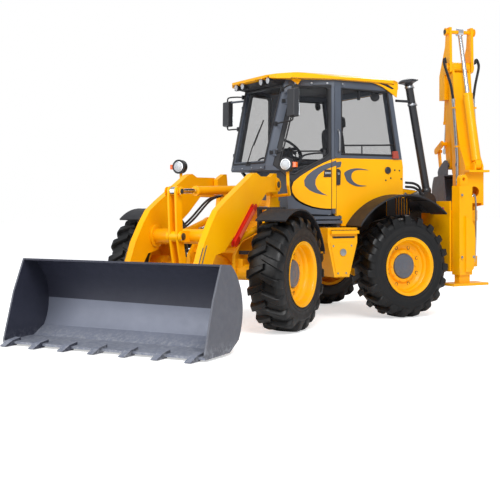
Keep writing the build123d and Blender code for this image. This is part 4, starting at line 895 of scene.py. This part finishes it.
# the drum: pressed ribs, and an end with two slots
for y in (0.585, 0.66, 0.735):
    s.turned((-2.11, y, 1.48), (0, 1, 0), ((0.1395, -0.006), (0.1425, -0.002), (0.1425, 0.002),
                                           (0.1395, 0.006)), 48)
s.use(ZINC)
for x in (-2.135, -2.085):
    s.slab([(x - 0.007, 1.42), (x + 0.007, 1.42), (x + 0.03, 1.52), (x + 0.016, 1.52)], 0.7985, 0.802)
# two hoses that run back to the drum
s.use(BLACK)
for drop in (0, 0.055):
    s.tube(((-1.77, 0.74, 1.745 - drop), (-1.9, 0.745, 1.735 - drop), (-2.0, 0.735, 1.69 - drop),
            (-2.04, 0.725, 1.61 - drop * 0.6)), 0.017, 12, 5)
s.done()

# seams, screws and locks of the hood, and the frame of its rear grille
s = Shape("hood_trim", "rear", "engine_hood", BLACK, ZINC, bevel=0.002)
for hand in (1, -1):
    s.tube(((-1.65, hand * 0.47, 1.691), (-2.14, hand * 0.47, 1.6435)), 0.006, 8)
    s.use(ZINC)
    for x in (-1.72, -2.18):
        s.bolt((x, hand * 0.5005, 1.26), (0, hand, 0), 0.01)
    s.turned((-1.95, hand * 0.5, 1.595), (0, hand, 0), ((0.022, 0), (0.022, 0.008), (0.012, 0.01)), 20)
    s.use(BLACK)
for low in (1.225, 1.545):
    s.box(-2.229, -2.2245, -0.42, 0.42, low, low + 0.01)
for y in (-0.41, 0.41):
    s.box(-2.229, -2.2245, y - 0.006, y + 0.006, 1.225, 1.555)
s.use(ZINC)
s.box(-2.238, -2.225, -0.05, 0.05, 1.5, 1.525)
s.done()

# --- headlamps, door posts, roof corners, pins and hoses ---
s = Shape("headlamp_lenses", "front", "headlamps", BLACK, LENS, CHROME, bevel=0.001)
for y in (-0.749, 0.749):
    s.use(BLACK)
    s.turned((0.855, y, 1.933), (1, 0, 0), ((0.0855, -0.012), (0.09, -0.006), (0.09, 0.008), (0.066, 0.01)),
             40)
    s.use(CHROME)
    s.turned((0.8645, y, 1.933), (1, 0, 0), ((0.067, 0), (0.066, 0.003), (0.06, 0.004)), 40)
    s.use(LENS)
    s.turned((0.8675, y, 1.933), (1, 0, 0), ((0.06, 0), (0.055, 0.008), (0.04, 0.014), (0.02, 0.017),
                                             (0, 0.018)), 40)
s.done()

for side, hand in SIDES:
    # the post's yellow foot between door and panel, with the stripe run on over it
    s = Shape(f"door_post_skin_{side}", "rear", "cab_frame", YELLOW, GREY, BLACK, bevel=0.001)
    laid(s, [(-0.571, 1.403), (-0.624, 1.403), (-0.624, 2.038), (-0.571, 2.026)], 0.0012, 0.006, hand)
    s.use(GREY)
    laid(s, [(-0.571, 1.992), (-0.571, 1.926), (-0.624, 1.945), (-0.624, 2.014)], 0.006, 0.008, hand)
    s.use(BLACK)
    for x in (-0.5665, -0.6285):
        s.tube([on_wall(x, z, 0.002, hand) for z in (1.403, 1.7, 1.949)], 0.0035, 6)
    s.done()

    # pressed tails at the roof's rear corners, and tabs at its front posts
    s = Shape(f"roof_tails_{side}", "rear", "cab_roof", YELLOW, BLACK, bevel=0.004)
    laid(s, [(-1.12, 3.05), (-1.515, 3.05), (-1.6, 3.036), (-1.575, 2.86), (-1.5, 2.905), (-1.35, 2.985)],
         0.012, 0.032, hand)
    laid(s, [(-0.075, 3.05), (-0.235, 3.05), (-0.18, 2.965)], 0.012, 0.026, hand)
    s.use(BLACK)
    laid(s, [(-1.25, 3.035), (-1.42, 3.022), (-1.53, 2.975), (-1.5, 2.96), (-1.38, 3.0)], 0.032, 0.034, hand)
    s.done()


def pins(name, place, node, table):
    """A boss, a pin's head and its bolt at each of a linkage's pivots: x, z, distance out, pin radius."""
    s = Shape(name, place, node, YELLOW, ZINC, DARK_PAINT, bevel=0.002)
    for x, z, out, size in table:
        for hand in (1, -1):
            s.use(YELLOW)
            s.turned((x, hand * out, z), (0, hand, 0), ((size + 0.022, 0), (size + 0.022, 0.006),
                                                        (size + 0.016, 0.008)), 32)
            s.use(DARK_PAINT)
            s.turned((x, hand * (out + 0.007), z), (0, hand, 0),
                     ((size, 0), (size, 0.009), (size - 0.005, 0.012), (0.008, 0.012), (0.006, 0.008)), 32)
            s.use(ZINC)
            s.bolt((x + 0.6 * size + 0.012, hand * (out + 0.004), z - 0.6 * size - 0.012), (0, hand, 0),
                   0.008)
    s.done()


pins("arm_pins", "front", "loader_arms", ((0.52, 1.7, 0.4805, 0.042), (2.64, 0.25, 0.4805, 0.038),
                                          (1.56, 1.04, 0.4805, 0.036)))
pins("crank_pins", "front", "bellcrank", ((2.15, 1.6, 0.0905, 0.03), (1.998, 0.606, 0.0905, 0.028),
                                          (2.12, 1.1, 0.0905, 0.04)))
pins("boom_pins", "hoe", "boom", ((0.2, 0.76, 0.1385, 0.04), (0.15, 2.01, 0.1385, 0.028)))
pins("dipper_pins", "hoe", "dipper", ((0.36, 3.9, 0.2155, 0.034),))

s = Shape("dipper_head_pin", "hoe", "dipper", YELLOW, bevel=0.002)
s.turned((0.36, -0.212, 3.9), (0, 1, 0), ((0.0265, 0), (0.0265, 0.424)), 28)
s.done()

# flanges round the cross tube's ends, and two stripes on each arm
s = Shape("arm_trim", "front", "loader_arms", YELLOW, GREY, bevel=0.003)
for hand in (1, -1):
    s.turned((1.9, hand * 0.404, 1.095), (0, -hand, 0),
             ((0.13, 0), (0.13, 0.014), (0.124, 0.018), (0.088, 0.018)), 40)
    s.use(GREY)
    for shift in (0.0, 0.075):
        s.slab([(2.25 + shift, 1.02 - shift * 0.3), (2.275 + shift, 1.01 - shift * 0.3),
                (2.52 + shift, 0.52), (2.495 + shift, 0.52)], hand * 0.4801, hand * 0.4815)
    s.use(YELLOW)
s.done()

s = Shape("loader_hoses", "front", "loader_arms", BLACK, ZINC, bevel=0)
for side in (-0.145, -0.105, 0.105, 0.145):
    s.use(BLACK)
    s.tube(((0.9, side, 1.56), (1.15, side * 1.15, 1.5), (1.5, side * 1.25, 1.29), (1.72, side * 1.3, 1.19),
            (1.84, side * 1.4, 1.18)), 0.013, 10, 6)
    s.use(ZINC)
    s.tube(((0.87, side, 1.562), (0.93, side, 1.556)), 0.018, 12)
    s.tube(((1.815, side * 1.38, 1.184), (1.85, side * 1.42, 1.18)), 0.018, 12)
s.done()

s = Shape("boom_hoses", "hoe", "boom", BLACK, ZINC, YELLOW, bevel=0)
for hand in (1, -1):
    # steel pipes clipped to the boom's cheek, and hose loops over its top pivot
    for x0, x1 in ((0.08, 0.16), (0.12, 0.2)):
        s.use(ZINC)
        s.tube(((x0 + 0.012, hand * 0.152, 1.56), (x0 + 0.02, hand * 0.152, 2.1),
                (x1 + 0.06, hand * 0.152, 2.9)), 0.011, 10)
        s.tube(((x1 + 0.058, hand * 0.152, 2.885), (x1 + 0.061, hand * 0.152, 2.94)), 0.016, 12)
        s.use(BLACK)
        s.tube(((x1 + 0.061, hand * 0.152, 2.93), (x1 + 0.07, hand * 0.19, 3.15),
                (x1 + 0.1, hand * 0.255, 3.38), (x1 + 0.13, hand * 0.262, 3.47),
                (x1 + 0.15, hand * 0.24, 3.52), (x1 + 0.15, hand * 0.225, 3.45)), 0.01, 10, 6)
    s.use(YELLOW)
    for x, z in ((0.12, 1.7), (0.15, 2.25), (0.205, 2.8)):
        s.box(x - 0.04, x + 0.07, hand * 0.138, hand * 0.166, z, z + 0.026)
s.done()

# a plated grab tube on the carriage
s = Shape("carriage_trim", "rear", "carriage", ZINC, bevel=0.002)
s.tube(((-2.6, 1.06, 0.7), (-2.66, 1.085, 0.74), (-2.67, 1.09, 1.5), (-2.62, 1.06, 1.57)), 0.012, 10, 6)
s.done()

# bolts of the sleeves' outer plates
s = Shape("slide_trim", "rear", "slide_frame", ZINC, bevel=0.003)
for hand in (1, -1):
    for x, z in ((-2.56, 1.58), (-2.36, 1.58), (-2.56, 0.76), (-2.36, 0.76)):
        s.bolt((x, hand * 1.1785, z), (0, hand, 0), 0.014)
s.done()

# a painted highlight: a lighter red band along the middle of the strut's outer plate
s = Shape("strut_painted_highlight", "front", "safety_strut", RED_HIGHLIGHT, bevel=0.002)
s.slab([(1.266, 1.404), (1.616, 1.098), (1.584, 1.062), (1.234, 1.368)], 0.5305, 0.5335)
s.done()

# === camera, floor and light ===
camera = into_scene("camera", bpy.data.cameras.new("camera"))
camera.data.lens, camera.data.sensor_width = 68.34, 36.0
camera.data.shift_x, camera.data.shift_y = -0.0012, -0.0914
camera.data.clip_end = 200
camera.location = ORIGIN @ Vector((6.04, 10.85, 1.457))
camera.rotation_euler = Vector((-0.476, -0.88, 0)).to_track_quat("-Z", "Y").to_euler()
bpy.context.scene.camera = camera


def floor_look():
    """Pale and matt, a little brighter to the camera alone."""
    m = Nodes("pale_floor")
    grain = m.mix(m.noise(6.0), (0.86, 0.86, 0.86), (0.88, 0.88, 0.88))
    m.set(Base_Color=grain, Roughness=0.7)
    path = m.node("ShaderNodeLightPath")
    glow = m.node("ShaderNodeEmission", Strength=0.55)
    both = m.node("ShaderNodeAddShader")
    switch = m.node("ShaderNodeMixShader")
    out = next(n for n in m.tree.nodes if n.type == "OUTPUT_MATERIAL")
    m.link(m.shader.outputs[0], both.inputs[0])
    m.link(glow.outputs[0], both.inputs[1])
    m.link(path.outputs["Is Camera Ray"], switch.inputs[0])
    m.link(m.shader.outputs[0], switch.inputs[1])
    m.link(both.outputs[0], switch.inputs[2])
    m.link(switch.outputs[0], out.inputs["Surface"])
    return m.material


mesh = bpy.data.meshes.new("floor")
reach, level = 60, -0.001
mesh.from_pydata([(reach * x, reach * y, level) for x, y in ((-1, -1), (1, -1), (1, 1), (-1, 1))], [],
                 [(0, 1, 2, 3)])
mesh.materials.append(floor_look())
floor = into_scene("floor", mesh)

# the world is white where the camera looks past the object, and dimmer where it lights it
world = bpy.data.worlds.new("studio")
bpy.context.scene.world = world
world.use_nodes = True
tree = world.node_tree
background = next(n for n in tree.nodes if n.type == "BACKGROUND")
white = tree.nodes.new("ShaderNodeBackground")
white.inputs["Color"].default_value = (1, 1, 1, 1)
background.inputs["Color"].default_value = (0.92, 0.95, 1.0, 1)
background.inputs["Strength"].default_value = 0.62
path = tree.nodes.new("ShaderNodeLightPath")
seen = tree.nodes.new("ShaderNodeMath")
seen.operation = "MAXIMUM"
switch = tree.nodes.new("ShaderNodeMixShader")
out = next(n for n in tree.nodes if n.type == "OUTPUT_WORLD")
for start, end in ((path.outputs["Is Camera Ray"], seen.inputs[0]),
                   (path.outputs["Is Transmission Ray"], seen.inputs[1]),
                   (seen.outputs[0], switch.inputs[0]),
                   (background.outputs[0], switch.inputs[1]),
                   (white.outputs[0], switch.inputs[2]),
                   (switch.outputs[0], out.inputs["Surface"])):
    tree.links.new(start, end)


def lamp(name, at, towards, size, power):
    """A square studio lamp."""
    data = bpy.data.lights.new(name, "AREA")
    data.shape, data.size, data.energy = "SQUARE", size, power
    made = into_scene(name, data)
    made.location = at
    made.rotation_euler = (Vector(towards) - Vector(at)).to_track_quat("-Z", "Y").to_euler()


lamp("key", (3.0, 8.5, 8.5), (0, 0, 1.0), 5.0, 900)
lamp("fill", (9.0, 2.0, 4.0), (0, 0, 1.2), 6.0, 300)
lamp("back", (-7.5, -5.0, 7.5), (0, 0, 1.5), 5.0, 350)
bpy.context.scene.view_settings.view_transform = "Standard"
